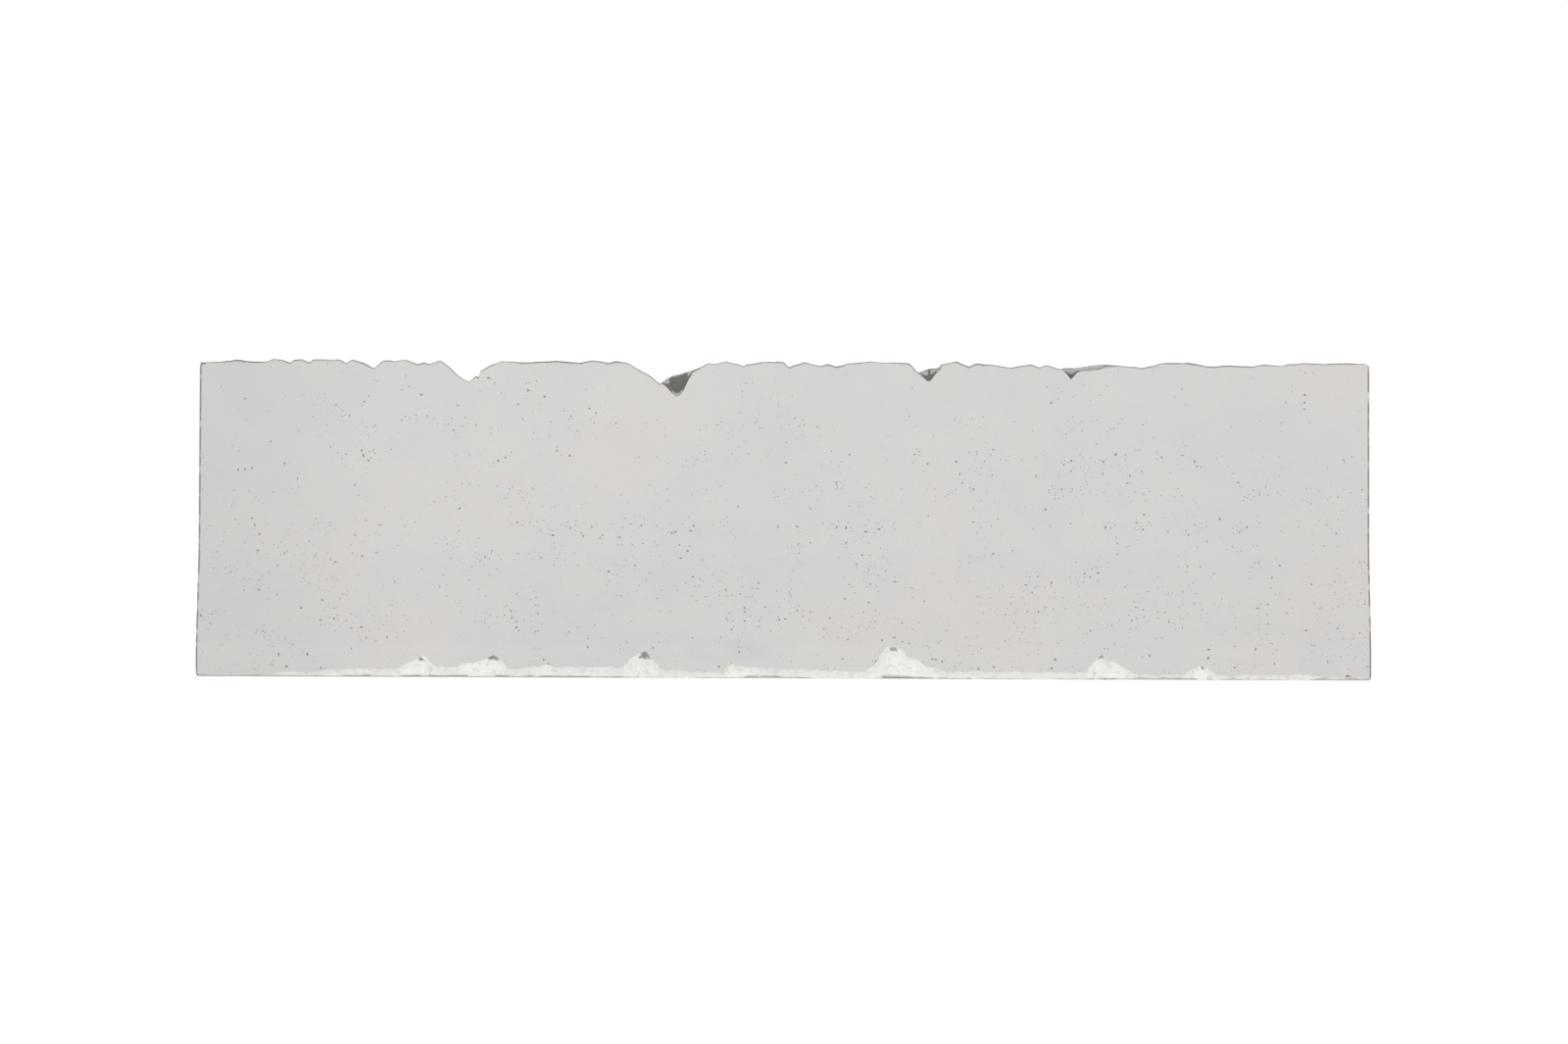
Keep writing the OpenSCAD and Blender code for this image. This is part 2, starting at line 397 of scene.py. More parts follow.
class Finish:
    """A material under construction: its nodes, and the wires that the finishes are written with."""

    # Numbers of the colour mix's sockets, whose names are shared with its other data types.
    MIX_COLOUR = {"factor": 0, "a": 6, "b": 7, "out": 2}

    def __init__(self, name: str) -> None:
        """Starts an empty material with its shader and output.

        Args:
            name: Name of the material.
        """
        self.material = bpy.data.materials.new(name)
        self.material.use_nodes = True
        self.nodes = self.material.node_tree.nodes
        self.links = self.material.node_tree.links
        self.nodes.clear()
        self.shader = self.nodes.new("ShaderNodeBsdfPrincipled")
        output = self.nodes.new("ShaderNodeOutputMaterial")
        self.links.new(self.shader.outputs["BSDF"], output.inputs["Surface"])

    def node(
        self,
        kind: str,
        settings: Optional[dict[str, object]] = None,
        inputs: Optional[dict[Union[str, int], object]] = None,
        output: Union[str, int] = 0,
    ) -> Wire:
        """Adds a node.

        Args:
            kind: Type of the node.
            settings: Its properties, set first.
            inputs: Value or wire of each socket, by name or number.
            output: Which output is wanted.

        Returns:
            That output as a wire.
        """
        made = self.nodes.new(kind)
        for key, value in (settings or {}).items():
            setattr(made, key, value)
        for key, value in (inputs or {}).items():
            self.feed(made.inputs[key], value)
        return Wire(self, made.outputs[output])

    def feed(self, socket: bpy.types.NodeSocket, value: object) -> None:
        """Links a wire to a socket, or sets the socket's own value.

        Args:
            socket: Socket of a node.
            value: Wire, colour or number.
        """
        if isinstance(value, Wire):
            self.links.new(value.socket, socket)
        elif isinstance(value, tuple) and len(value) == 3 and socket.type == "RGBA":
            socket.default_value = (*value, 1.0)
        else:
            socket.default_value = value

    def place(self) -> Wire:
        """Object coordinates, in metres."""
        return self.node("ShaderNodeTexCoord", output="Object")

    def axes(self, place: Wire) -> tuple[Wire, Wire, Wire]:
        """The three coordinates of a place."""
        split = self.nodes.new("ShaderNodeSeparateXYZ")
        self.links.new(place.socket, split.inputs[0])
        return Wire(self, split.outputs[0]), Wire(self, split.outputs[1]), Wire(self, split.outputs[2])

    def attribute(self, name: str) -> Wire:
        """A number stored on the mesh."""
        return self.node("ShaderNodeAttribute", {"attribute_name": name}, output="Fac")

    def stretched(self, place: Wire, stretch: Colour, shift: Colour = (0.0, 0.0, 0.0)) -> Wire:
        """Coordinates scaled along each axis and moved."""
        sockets = {"Vector": place, "Location": shift, "Scale": stretch}
        return self.node("ShaderNodeMapping", {"vector_type": "POINT"}, sockets)

    def noise(self, place: Wire, per_metre: float, detail: float = 3.0, rough: float = 0.55) -> Wire:
        """Noise in about 0.2..0.8, with this many features in a metre.

        Args:
            place: Coordinates.
            per_metre: Features of its first octave in a metre.
            detail: Number of further octaves.
            rough: Height of each octave against the one before.

        Returns:
            The noise.
        """
        return self.node(
            "ShaderNodeTexNoise",
            inputs={"Vector": place, "Scale": per_metre, "Detail": detail, "Roughness": rough},
            output="Fac",
        )

    def mixed(self, a: Union[Wire, Colour], b: Union[Wire, Colour], factor: Union[Wire, float]) -> Wire:
        """Colour that goes from a to b as factor goes from 0 to 1.

        Args:
            a: Colour at 0.
            b: Colour at 1.
            factor: Share of b.

        Returns:
            The mixed colour.
        """
        keys = self.MIX_COLOUR
        return self.node(
            "ShaderNodeMix",
            {"data_type": "RGBA"},
            {keys["factor"]: factor, keys["a"]: a, keys["b"]: b},
            keys["out"],
        )

    def shaded(self, colour: Union[Wire, Colour], factor: Wire) -> Wire:
        """Colour times a number."""
        return self.node(
            "ShaderNodeVectorMath", {"operation": "SCALE"}, {"Vector": colour, "Scale": factor}, "Vector"
        )

    def relief(self, height: Wire, distance: float, strength: float) -> None:
        """Bump on the shader's normal, height in units of distance."""
        sockets = {"Height": height, "Distance": distance, "Strength": strength}
        self.set("Normal", self.node("ShaderNodeBump", inputs=sockets, output="Normal"))

    def set(self, socket: str, value: object) -> None:
        """Feeds a socket of the shader."""
        self.feed(self.shader.inputs[socket], value)


@dataclass(frozen=True)
class AirHoles:
    """One family of air holes in a cast face: a share of the cells of a random pattern.

    The pattern has per_metre cells in a metre, share of which hold a hole, with a radius of up to
    about radius millimetres. A cell's own random colour picks whether it has one and how large.
    """

    per_metre: float
    radius: float
    share: float
    stretch: Colour = (1.0, 1.0, 1.0)
    shift: Colour = (0.0, 0.0, 0.0)

    SPREAD = 0.6
    RIM = (0.55, 0.25)
    PICK = 0.02

    def wire(self, finish: Finish, place: Wire, crowd: Wire) -> Wire:
        """1 in a hole and 0 outside it.

        Args:
            finish: Material that holds the nodes.
            place: Object coordinates.
            crowd: Factor on the share of cells with a hole.

        Returns:
            The holes.
        """
        cells = finish.node(
            "ShaderNodeTexVoronoi",
            {"feature": "F1"},
            {"Vector": finish.stretched(place, self.stretch, self.shift), "Scale": self.per_metre},
            "Distance",
        )
        pick = finish.axes(Wire(finish, cells.socket.node.outputs["Color"]))
        chosen = (crowd * self.share - pick[0]).rise(0.0, self.PICK)
        size = self.radius * self.per_metre * MM
        outer, inner = self.RIM
        near = (cells - pick[1] * (self.SPREAD * size)).rise(outer * size, inner * size)
        return near * chosen


@dataclass(frozen=True)
class ConcreteFinish:
    """Pale cast face with air holes, dark breaks above and whitish ones below.

    The dark breaks are dirt with painted shade, the whitish ones freshly broken colour with
    painted light, and the air holes are painted dark as painted shade. Numbers stored on the mesh
    say where each finish lies: one for each kind of break, one for a painted shade line along
    arrises and under the lip, and one for the crown.
    """

    face: Colour = linear(199, 197, 195)
    warm: Colour = linear(200, 195, 193)
    cool: Colour = linear(195, 197, 193)
    # Air holes, painted dark as painted shade.
    hole: Colour = linear(116, 114, 111)
    # Whitish breaks: freshly broken colour, made paler as painted light.
    fresh: Colour = linear(230, 229, 225)
    fresh_shade: Colour = linear(206, 205, 201)
    # Dark breaks: dirt, darkened further as painted shade.
    dirt_and_shade: Colour = linear(112, 111, 108)
    band: Colour = linear(176, 174, 171)
    crown_dirt: Colour = linear(172, 170, 165)
    # Painted shade line along arrises and painted shadow line under the lip.
    line: Colour = linear(112, 110, 107)
    rust: Colour = linear(150, 118, 92)
    # Middle and steepness of a soft darker patch on the front face.
    dark_patch_middle: tuple[float, float] = (-0.137, 0.07)
    dark_patch_steepness: tuple[float, float] = (64.0, 700.0)
    stain_half: float = 0.05
    end_plane: float = 1.4988
    holes: tuple[AirHoles, ...] = (
        AirHoles(60.0, 2.9, 0.22),
        AirHoles(50.0, 2.2, 0.30, stretch=(0.5, 1.0, 1.0), shift=(0.7, 0.3, 0.1)),
        AirHoles(54.0, 2.2, 0.24, stretch=(1.0, 1.0, 0.5), shift=(1.9, 0.6, 0.4)),
        AirHoles(110.0, 1.6, 0.50, shift=(3.1, 1.3, 0.9)),
    )

    def material(self) -> bpy.types.Material:
        """Builds the concrete's material.

        Returns:
            The material, with its nodes.
        """
        f = Finish("cast_concrete")
        place = f.place()
        x, y, z = f.axes(place)
        fresh, dark, line, top = (f.attribute(name) for name in ConcreteBody.CHANNELS)
        broken = fresh.above(dark).above(top)

        cloud = f.noise(place, 2.2, 4.0, 0.6)
        patch = f.noise(place, 9.0, 4.0, 0.6)
        grit = f.noise(place, 130.0, 3.0, 0.7)
        grain = f.noise(place, 420.0, 2.0, 0.7)
        stone = f.noise(place, 75.0, 4.0, 0.7)

        # Cast face: warmer clouds and cooler patches, and painted shade that darkens it towards the ends,
        # most at the left end, and towards the ground.
        body = f.mixed(self.face, self.warm, cloud.rise(0.5, 0.75))
        body = f.mixed(body, self.cool, patch.rise(0.5, 0.75) * 0.7)
        tone = 1.0 + (cloud - 0.5) * 0.10 + (patch - 0.5) * 0.05
        tone = tone + (grain - 0.5) * 0.05 + (grit - 0.5) * 0.03
        ends = x.rise(-0.9, -1.45) * 0.06 + x.rise(0.9, 1.5) * 0.02
        low = z.rise(0.45, 0.05) * 0.015
        # A soft darker patch on the front face near the foot, left of the middle.
        off_x, off_z = x - self.dark_patch_middle[0], z - self.dark_patch_middle[1]
        dark_patch_distance = off_x * off_x * self.dark_patch_steepness[0] + off_z * off_z * self.dark_patch_steepness[1]
        dark_patch = dark_patch_distance.rise(1.0, 0.2) * y.rise(-0.2, -0.25) * patch.rise(0.35, 0.6) * 0.06
        body = f.shaded(body, tone - ends - low - dark_patch)

        # Air holes, in crowds, and fewer of them towards the crown, painted dark as painted shade in the
        # holes.
        spread = f.noise(f.stretched(place, (1.0, 1.0, 1.0), (4.0, 2.0, 7.0)), 7.0, 3.0)
        crowd = (spread.rise(0.42, 0.62) * 1.3 + 0.2) * (0.35 + z.rise(0.75, 0.5) * 0.8)
        holes = reduce(Wire.above, [family.wire(f, place, crowd) for family in self.holes]) * (1.0 - broken)
        body = f.mixed(body, self.hole, holes * 0.85)

        # Dirty crown; whitish breaks, freshly broken colour with painted light; dark breaks, dirt with
        # painted shade; and a painted shade line along arrises and under the lip, in dashes.
        dirt = f.noise(place, 26.0, 5.0, 0.65)
        crown = f.mixed(self.face, self.crown_dirt, dirt.rise(0.3, 0.65))
        body = f.mixed(body, f.shaded(crown, 1.0 + (grit - 0.5) * 0.35), top)
        whitish = f.mixed(self.fresh_shade, self.fresh, stone.rise(0.32, 0.5))
        body = f.mixed(body, f.shaded(whitish, 1.0 + (grain - 0.5) * 0.10), fresh)
        dirty_shaded_break = f.mixed(self.band, self.dirt_and_shade, dark.rise(0.35, 0.8))
        body = f.mixed(body, f.shaded(dirty_shaded_break, 1.0 + (grit - 0.5) * 0.30), dark.rise(0.05, 0.35))
        body = f.mixed(body, self.line, line * f.noise(place, 24.0, 3.0).rise(0.32, 0.5))

        # Rust that runs down beside the slots in the end faces.
        beside = abs(y).rise(self.stain_half + 0.06, self.stain_half) * z.rise(0.07, 0.15)
        by_slot = beside * abs(x).rise(self.end_plane, self.end_plane + 0.8 * MM)
        stain = by_slot * f.noise(f.stretched(place, (1.0, 1.0, 0.25)), 38.0, 4.0).rise(0.55, 0.8)
        body = f.mixed(body, self.rust, stain * 0.3)

        f.set("Base Color", body)
        f.set("Roughness", 0.93 - 0.06 * grit)
        f.set("Specular IOR Level", 0.25)
        torn = f.noise(place, 190.0, 4.0, 0.75) * 1.6 + stone * 1.6
        f.relief(grit * 0.35 + grain * 0.15 + broken * torn - holes * 2.2, 1.0 * MM, 0.55)
        return f.material


@dataclass(frozen=True)
class SteelFinish:
    """Steel with mill scale and rust that gathers in patches.

    rust_share says how much of the surface is rusted, patch how many rust patches lie in a metre
    and polish how smooth the clean steel is.
    """

    name: str
    clean: Colour
    scale: Colour
    rust: Colour
    rust_share: float
    patch: float
    polish: float

    def material(self) -> bpy.types.Material:
        """Builds the steel's material.

        Returns:
            The material, with its nodes.
        """
        f = Finish(self.name)
        place = f.place()
        cover = f.noise(place, self.patch, 5.0, 0.65)
        speck = f.noise(place, self.patch * 9.0, 3.0, 0.7)
        grain = f.noise(place, 900.0, 2.0, 0.7)
        low = 0.72 - 0.5 * self.rust_share
        rusted = (cover + (speck - 0.5) * 0.35).rise(low, low + 0.14)
        skin = f.mixed(self.clean, self.scale, speck.rise(0.35, 0.65))
        deep = f.shaded(self.rust, 0.65 + speck * 0.7)
        f.set("Base Color", f.shaded(f.mixed(skin, deep, rusted), 0.85 + grain * 0.3))
        f.set("Metallic", 0.85 - 0.80 * rusted)
        f.set("Roughness", (1.0 - self.polish) + rusted * (self.polish - 0.12) - (grain - 0.5) * 0.1)
        f.relief(rusted * speck * 1.5 + grain * 0.2, 0.4 * MM, 0.7)
        return f.material


@dataclass(frozen=True)
class MortarFinish:
    """Dense fibre mortar, a little darker than the concrete, with fine fibres."""

    body: Colour = linear(186, 184, 179)
    shade: Colour = linear(158, 156, 151)
    fibre: Colour = linear(212, 209, 200)

    def material(self) -> bpy.types.Material:
        """Builds the mortar's material.

        Returns:
            The material, with its nodes.
        """
        f = Finish("fibre_mortar")
        place = f.place()
        cloud = f.noise(place, 60.0, 4.0, 0.6)
        grain = f.noise(place, 700.0, 2.0, 0.7)
        strands = f.noise(f.stretched(place, (1.0, 9.0, 9.0)), 55.0, 2.0).rise(0.62, 0.7)
        body = f.mixed(self.shade, self.body, cloud.rise(0.35, 0.65))
        f.set("Base Color", f.shaded(f.mixed(body, self.fibre, strands * 0.6), 0.9 + grain * 0.2))
        f.set("Roughness", 0.85 + (grain - 0.5) * 0.1)
        f.relief(cloud * 0.5 + grain * 0.3 + strands * 0.4, 0.5 * MM, 0.6)
        return f.material


REBAR = SteelFinish(
    "rusted_bar", linear(112, 98, 88), linear(92, 78, 70), linear(142, 84, 50), 0.62, 22.0, 0.5
)
SLOT_STEEL = SteelFinish(
    "slot_tube_steel", linear(150, 149, 146), linear(122, 120, 117), linear(128, 82, 54), 0.34, 14.0, 0.55
)
ANCHOR_STEEL = SteelFinish(
    "forged_anchor", linear(142, 142, 141), linear(108, 107, 106), linear(124, 84, 60), 0.22, 45.0, 0.6
)


def dress(piece: bpy.types.Object, material: bpy.types.Material) -> None:
    """Gives a piece one material, and reports it."""
    piece.data.materials.clear()
    piece.data.materials.append(material)
    LOG.info("%s: %d faces, %s", piece.name, len(piece.data.polygons), material.name)


def stand_for(piece: bpy.types.Object, node: str, material: bpy.types.Material) -> None:
    """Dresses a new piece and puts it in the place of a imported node.

    Args:
        piece: The new piece.
        node: Name of the node that it stands for.
        material: Its finish.
    """
    dress(piece, material)
    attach(piece, BODY)
    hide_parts(node)


# ---------------------------------------------------------------- concrete


@dataclass(frozen=True)
class Section:
    """Half of the cross-section: the outline of a face from the foot's edge up to the crown."""

    foot: float
    toe_height: float
    change_height: float
    change: float
    crown: float
    height: float
    toe_reach: float = 9 * MM
    change_reach: float = 40 * MM

    def corners(self) -> np.ndarray:
        """Corners of the face as (distance from the middle, height)."""
        return np.array(
            [
                [self.foot, 0.0],
                [self.foot, self.toe_height],
                [self.change, self.change_height],
                [self.crown, self.height],
            ]
        )

    def marks(self) -> np.ndarray:
        """Distance of each corner along the face."""
        return np.concatenate([[0.0], np.cumsum(np.linalg.norm(np.diff(self.corners(), axis=0), axis=1))])

    def at(self, along: np.ndarray) -> np.ndarray:
        """Points of the face at distances along it.

        Between corners a point lies on the straight side. Within reach of a corner it lies on the
        quadratic curve through the two ends of that reach, with the corner as control point.

        Args:
            along: Distances from the foot's edge.

        Returns:
            The points, as (distance from the middle, height) on a last axis.
        """
        marks, corners = self.marks(), self.corners()
        flat = np.stack([np.interp(along, marks, corners[:, k]) for k in (0, 1)], axis=-1)
        for number, reach in ((1, self.toe_reach), (2, self.change_reach)):
            before = unit(corners[number] - corners[number - 1])
            after = unit(corners[number + 1] - corners[number])
            t = ((along - marks[number]) / (2 * reach) + 0.5)[..., None]
            start, stop = corners[number] - before * reach, corners[number] + after * reach
            curve = (1 - t) ** 2 * start + 2 * t * (1 - t) * corners[number] + t**2 * stop
            flat = np.where((t > 0) & (t < 1), curve, flat)
        return flat

    def drop_to_along(self, drop: np.ndarray) -> np.ndarray:
        """Distance along the face of a depth below the crown."""
        marks = self.marks()
        side = marks[3] - marks[2]
        return marks[3] - drop * side / (self.height - self.change_height)


@dataclass(frozen=True)
class Chip:
    """A broken place on an arris.

    The outline is a list of (distance along the arris from the middle, reach over the face), in
    millimetres. A pocket is a hole under the chip's peak, set in and painted dark as painted
    shade, given by its width and height.
    """

    middle: float
    outline: tuple[tuple[float, float], ...]
    pocket: tuple[float, float] = (0.0, 0.0)

    @staticmethod
    def plain(middle: float, left: float, right: float, reach: float) -> "Chip":
        """A chip with shoulders on both sides of a blunt peak, given as shares of its size.

        Args:
            middle: Place of the peak along the arris.
            left: Size to the left of it.
            right: Size to the right of it.
            reach: Reach over the face at the peak.

        Returns:
            The chip.
        """
        shares = (
            (-1, 0.18), (-0.7, 0.42), (-0.42, 0.5), (-0.16, 0.93), (0, 1), (0.2, 0.8), (0.45, 0.62),
            (0.6, 0.34), (1, 0.15),
        )
        return Chip(middle, tuple((a * (left if a < 0 else right), r * reach) for a, r in shares))

    def reach(self, x: np.ndarray) -> np.ndarray:
        """Reach over the face at places along the segment, in metres."""
        along, reach = np.array(self.outline, float).T * MM
        return np.interp(x - self.middle * MM, along, reach, left=0.0, right=0.0)

    def peak(self) -> tuple[float, float]:
        """Place and reach of the highest point, in metres."""
        along, reach = max(self.outline, key=lambda point: point[1])
        return (self.middle + along) * MM, reach * MM


def line_through(points: Points, x: np.ndarray) -> np.ndarray:
    """Straight stretches through (place, value) points in millimetres, as metres."""
    place, value = np.array(points, float).T * MM
    return np.interp(x, place, value)


class Draw(Enum):
    """What the seeded noises of a long face are drawn for."""

    EDGE = 0
    LIP = 1
    RUN = 2
    POCKET = 3
    RIM = 4
    SWELL = 5
    FOOT_BREAK = 6
    CROWN_BREAK = 7
    DASHES = 8


@dataclass(frozen=True)
class FaceWear:
    """How one long face is broken along its foot and along the crown, in millimetres."""

    foot_strip: Points
    foot_lip: Points
    foot_chips: tuple[Chip, ...]
    crown_chips: tuple[Chip, ...]
    # Darkness of the crown's breaks along the face: dirt with painted shade.
    crown_tone: Points
    seed: int

    def noise(self, use: Draw) -> LatticeNoise:
        """This face's noise for one use."""
        return LatticeNoise(self.seed + use.value)

    def foot_edge(self, x: np.ndarray) -> np.ndarray:
        """Height at which the sound face starts: the strip or the highest chip there, frayed.

        The fraying is 3 mm of noise over 34 mm and 1 mm over 9 mm. It has a third of that on the
        lowest edge and all of it from 18 mm up.

        Args:
            x: Places along the segment.

        Returns:
            Heights in metres.
        """
        edge = line_through(self.foot_strip, x)
        for chip in self.foot_chips:
            edge = np.maximum(edge, chip.reach(x))
        noise = self.noise(Draw.EDGE)
        frayed = noise.at(x, 34 * MM, octaves=3) * 3.0 * MM + noise.at(x, 9 * MM, 5.0, 2) * 1.0 * MM
        hold = 0.35 + 0.65 * smooth_step(edge / (18 * MM))
        return np.maximum(edge + frayed * hold, self.lip(x) + 1.0 * MM)

    def lip(self, x: np.ndarray) -> np.ndarray:
        """Height of the lowest edge over the ground."""
        ripple = self.noise(Draw.LIP).at(x, 26 * MM, octaves=3) * 1.6 * MM
        return np.maximum(line_through(self.foot_lip, x) + ripple, 0.7 * MM)

    def foot_run(self, x: np.ndarray, edge: np.ndarray) -> np.ndarray:
        """How far the foot is broken back at the ground: 3 mm, and 0.42 of the edge's height."""
        return 3 * MM + edge * (0.42 + 0.10 * self.noise(Draw.RUN).at(x, 60 * MM, octaves=3))

    def pocket(self, x: np.ndarray, share: np.ndarray) -> np.ndarray:
        """Holes of painted shade under the peaks of the foot chips: 1 inside, 0 outside.

        A hole is a triangle that widens downwards from the peak over the top part of the break.

        Args:
            x: Places along the segment, one for each row.
            share: How far up the break, 0 at the lip and 1 at the face, one for each column.

        Returns:
            The holes over rows and columns.
        """
        noise = self.noise(Draw.POCKET)
        total = np.zeros((len(x), len(share)))
        edge = self.foot_edge(x)[:, None]
        for chip in self.foot_chips:
            place, reach = chip.peak()
            width, height = chip.pocket[0] * MM, chip.pocket[1] * MM
            below = (1.0 - share)[None, :] * edge + reach - edge
            aside = np.abs(x[:, None] - place - 0.12 * width * noise.at(below, 12 * MM, place))
            inside = (aside * 2 * height <= width * below) & (below > 0) & (below < height)
            total = np.maximum(total, np.where(inside, 1.0, 0.0))
        return total

    def rim(self, x: np.ndarray, level: np.ndarray) -> np.ndarray:
        """Depth below the crown at which the sound face ends: a worn arris, or a chip in it.

        Args:
            x: Places along the segment.
            level: Depth of the crown's level there.

        Returns:
            Depths in metres.
        """
        noise = self.noise(Draw.RIM)
        wear = (3.2 + 2.4 * noise.at(x, 55 * MM, octaves=4)) * MM
        rim = level + np.maximum(wear, 0.8 * MM)
        for chip in self.crown_chips:
            depth = chip.reach(x)
            rough = 1.2 * MM * noise.at(x, 12 * MM, 3.0, 2)
            rim = np.maximum(rim, np.where(depth > 0, depth + rough, 0.0))
        return rim


@dataclass(frozen=True)
class Crown:
    """The broken level of the crown along the segment, as depth below its full height."""

    levels: Points
    seed: int

    def level(self, x: np.ndarray) -> np.ndarray:
        """Depth at places along the segment: the levels with a ripple of 3 mm over 36 mm."""
        ripple = LatticeNoise(self.seed).at(x, 36 * MM, octaves=4) * 3.0 * MM
        return np.maximum(line_through(self.levels, x) + ripple, 0.4 * MM)

    def dip(self, x: np.ndarray, y: np.ndarray) -> np.ndarray:
        """Further depth of the crown's rough top, over places along and across it."""
        return np.abs(LatticeNoise(self.seed + 1).at(x, 38 * MM, y, 4)) * 4.5 * MM


@dataclass(frozen=True)
class ConcreteBody:
    """The concrete of the segment: its section carried from end to end between broken arrises.

    LOW_LINES and MID_LINES are distances of the face's lines from the foot, and HIGH_DROPS their
    depths below the crown, in millimetres. A line that a break reaches keeps LINE_GAP beyond it,
    once for each line between.
    """

    section: Section
    length: float
    crown: Crown
    front: FaceWear
    back: FaceWear
    end_round: float = 6 * MM
    bed: float = 0.6 * MM
    heart: tuple[float, float] = (0.0, 0.3)
    pocket_depth: float = 4.5 * MM
    swell: float = 0.8 * MM

    CHANNELS = ("fresh", "dark", "line", "top")
    LOW_LINES = (0, 0.6, 5, 11, 18, 25, 32, 40, 48, 55, 61, 66, 70.5, 75, 79.5, 84, 90, 98, 109, 125)
    MID_LINES = (150, 210, 270, 315, 350, 370, 386, 402, 422, 450, 510, 580, 650)
    HIGH_DROPS = (
        160, 138, 120, 106, 96, 88, 81, 74, 67, 60, 53, 46, 40, 34, 28, 22, 16, 11, 7, 4, 0.6, 0,
    )
    LINE_GAP = 0.7
    BREAK_LINES = 10
    TOP_LINES = 12
    UNDER_SHARES = (0.3, 0.55, 0.72, 0.83, 0.91, 0.965)
    STATIONS = 528
    END_TURNS = (30.0, 60.0, 90.0)
    END_SHARES = (0.985, 0.93, 0.8, 0.6, 0.35, 0.12)

    def scoop(
        self, start: np.ndarray, stop: np.ndarray, share: np.ndarray, x: np.ndarray, noise: LatticeNoise
    ) -> np.ndarray:
        """Rough hollow surface between two lines of points.

        A point is start + share (stop - start), moved to the left of that direction by 0.07 of
        the distance times sin(pi share), and by noise of 0.09 of it that fades towards both lines.

        Args:
            start: Points (distance from the middle, height), one for each station.
            stop: The same for the far line.
            share: Shares of the way across.
            x: Places of the stations.
            noise: Roughness, over 16 mm.

        Returns:
            Array of station, share, coordinate.
        """
        way = stop - start
        size = np.linalg.norm(way, axis=1)
        side = unit(np.stack([-way[:, 1], way[:, 0]], axis=1))
        t = share[None, :]
        rough = noise.at(x[:, None], 16 * MM, t * size[:, None], 4)
        hollow = size[:, None] * (0.07 * np.sin(math.pi * t) + 0.09 * rough * np.sin(math.pi * t) ** 0.6)
        return start[:, None] + way[:, None] * t[..., None] + side[:, None] * hollow[..., None]

    def face_lines(
        self, x: np.ndarray, wear: FaceWear, edge: np.ndarray, rim: np.ndarray
    ) -> tuple[np.ndarray, np.ndarray]:
        """The sound face between the breaks, a little hollow over 0.45 m.

        Args:
            x: Places of the stations.
            wear: How this face is broken.
            edge: Height at which it starts.
            rim: Depth below the crown at which it ends.

        Returns:
            Array of station, line, coordinate, and the depths of the upper lines below the crown.
        """
        low = np.maximum(np.array(self.LOW_LINES) * MM, edge[:, None] + self.gaps(len(self.LOW_LINES)))
        mid = np.broadcast_to(np.array(self.MID_LINES) * MM, (len(x), len(self.MID_LINES)))
        gaps = self.gaps(len(self.HIGH_DROPS))[::-1]
        drops = np.maximum(np.array(self.HIGH_DROPS) * MM, rim[:, None] + gaps)
        along = np.concatenate([low, mid, self.section.drop_to_along(drops)], axis=1)
        face = self.section.at(along)
        hollow = wear.noise(Draw.SWELL).at(x[:, None], 0.45, along, 2)
        face[..., 0] -= np.abs(hollow) * self.swell
        return face, drops

    def foot_break(
        self, x: np.ndarray, wear: FaceWear, edge: np.ndarray, lip: np.ndarray, joint: np.ndarray
    ) -> np.ndarray:
        """The broken foot, from its lip up to the face.

        The break is whitish, freshly broken colour with painted light, and only chips over 24 mm are
        quite white. The pockets are painted dark as painted shade, and the lip carries a painted
        shadow line in dashes of about 55 mm.

        Args:
            x: Places of the stations.
            wear: How this face is broken.
            edge: Height at which the face starts.
            lip: Height of the lip.
            joint: The face's first points.

        Returns:
            Array of station, line, channel.
        """
        share = np.linspace(0.0, 1.0, self.BREAK_LINES + 1)[:-1]
        start = np.stack([self.section.foot - wear.foot_run(x, edge), lip], axis=1)
        foot = self.scoop(start, joint, share, x, wear.noise(Draw.FOOT_BREAK))
        # Pockets are set in and painted dark as painted shade.
        pocket = wear.pocket(x, share)
        foot[..., 0] -= pocket * self.pocket_depth
        whiteness = (0.74 + 0.26 * smooth_step((edge / MM - 24.0) / 12.0))[:, None]
        # Painted shadow line under the lip, in dashes.
        ripple = wear.noise(Draw.DASHES).at(x, 55 * MM, octaves=2)
        dashes = smooth_step((ripple + 0.2) / 0.2)[:, None]
        line = (share == 0.0) * dashes
        return self.zone(foot, fresh=(1.0 - pocket) * whiteness, dark=pocket * 0.55, line=line)

    def side(self, x: np.ndarray, wear: FaceWear) -> np.ndarray:
        """One long side, from the lip at the ground up to the level of the crown.

        In a chip deeper than 9 mm the crown's break has the dark tone given for that place, dirt with
        painted shade, paler in its upper part, and paler at the very bottom if it is deeper than
        44 mm. Elsewhere it is pale. A painted shade line runs along the top of the break. The face
        has a painted highlight in a 5 mm rim along the right flank of a chip over 20 mm.

        Args:
            x: Places of the stations.
            wear: How this face is broken.

        Returns:
            Array of station, line, channel: distance from the middle, height, then CHANNELS.
        """
        level = self.crown.level(x)
        edge, lip = wear.foot_edge(x), wear.lip(x)
        rim = wear.rim(x, level)
        face, drops = self.face_lines(x, wear, edge, rim)

        upper = np.linspace(0.0, 1.0, self.BREAK_LINES + 1)[1:]
        back_set = 7 * MM + 0.85 * (rim - level)
        top = np.stack([face[:, -1, 0] - back_set, self.section.height - level], axis=1)
        crown = self.scoop(face[:, -1], top, upper, x, wear.noise(Draw.CROWN_BREAK))

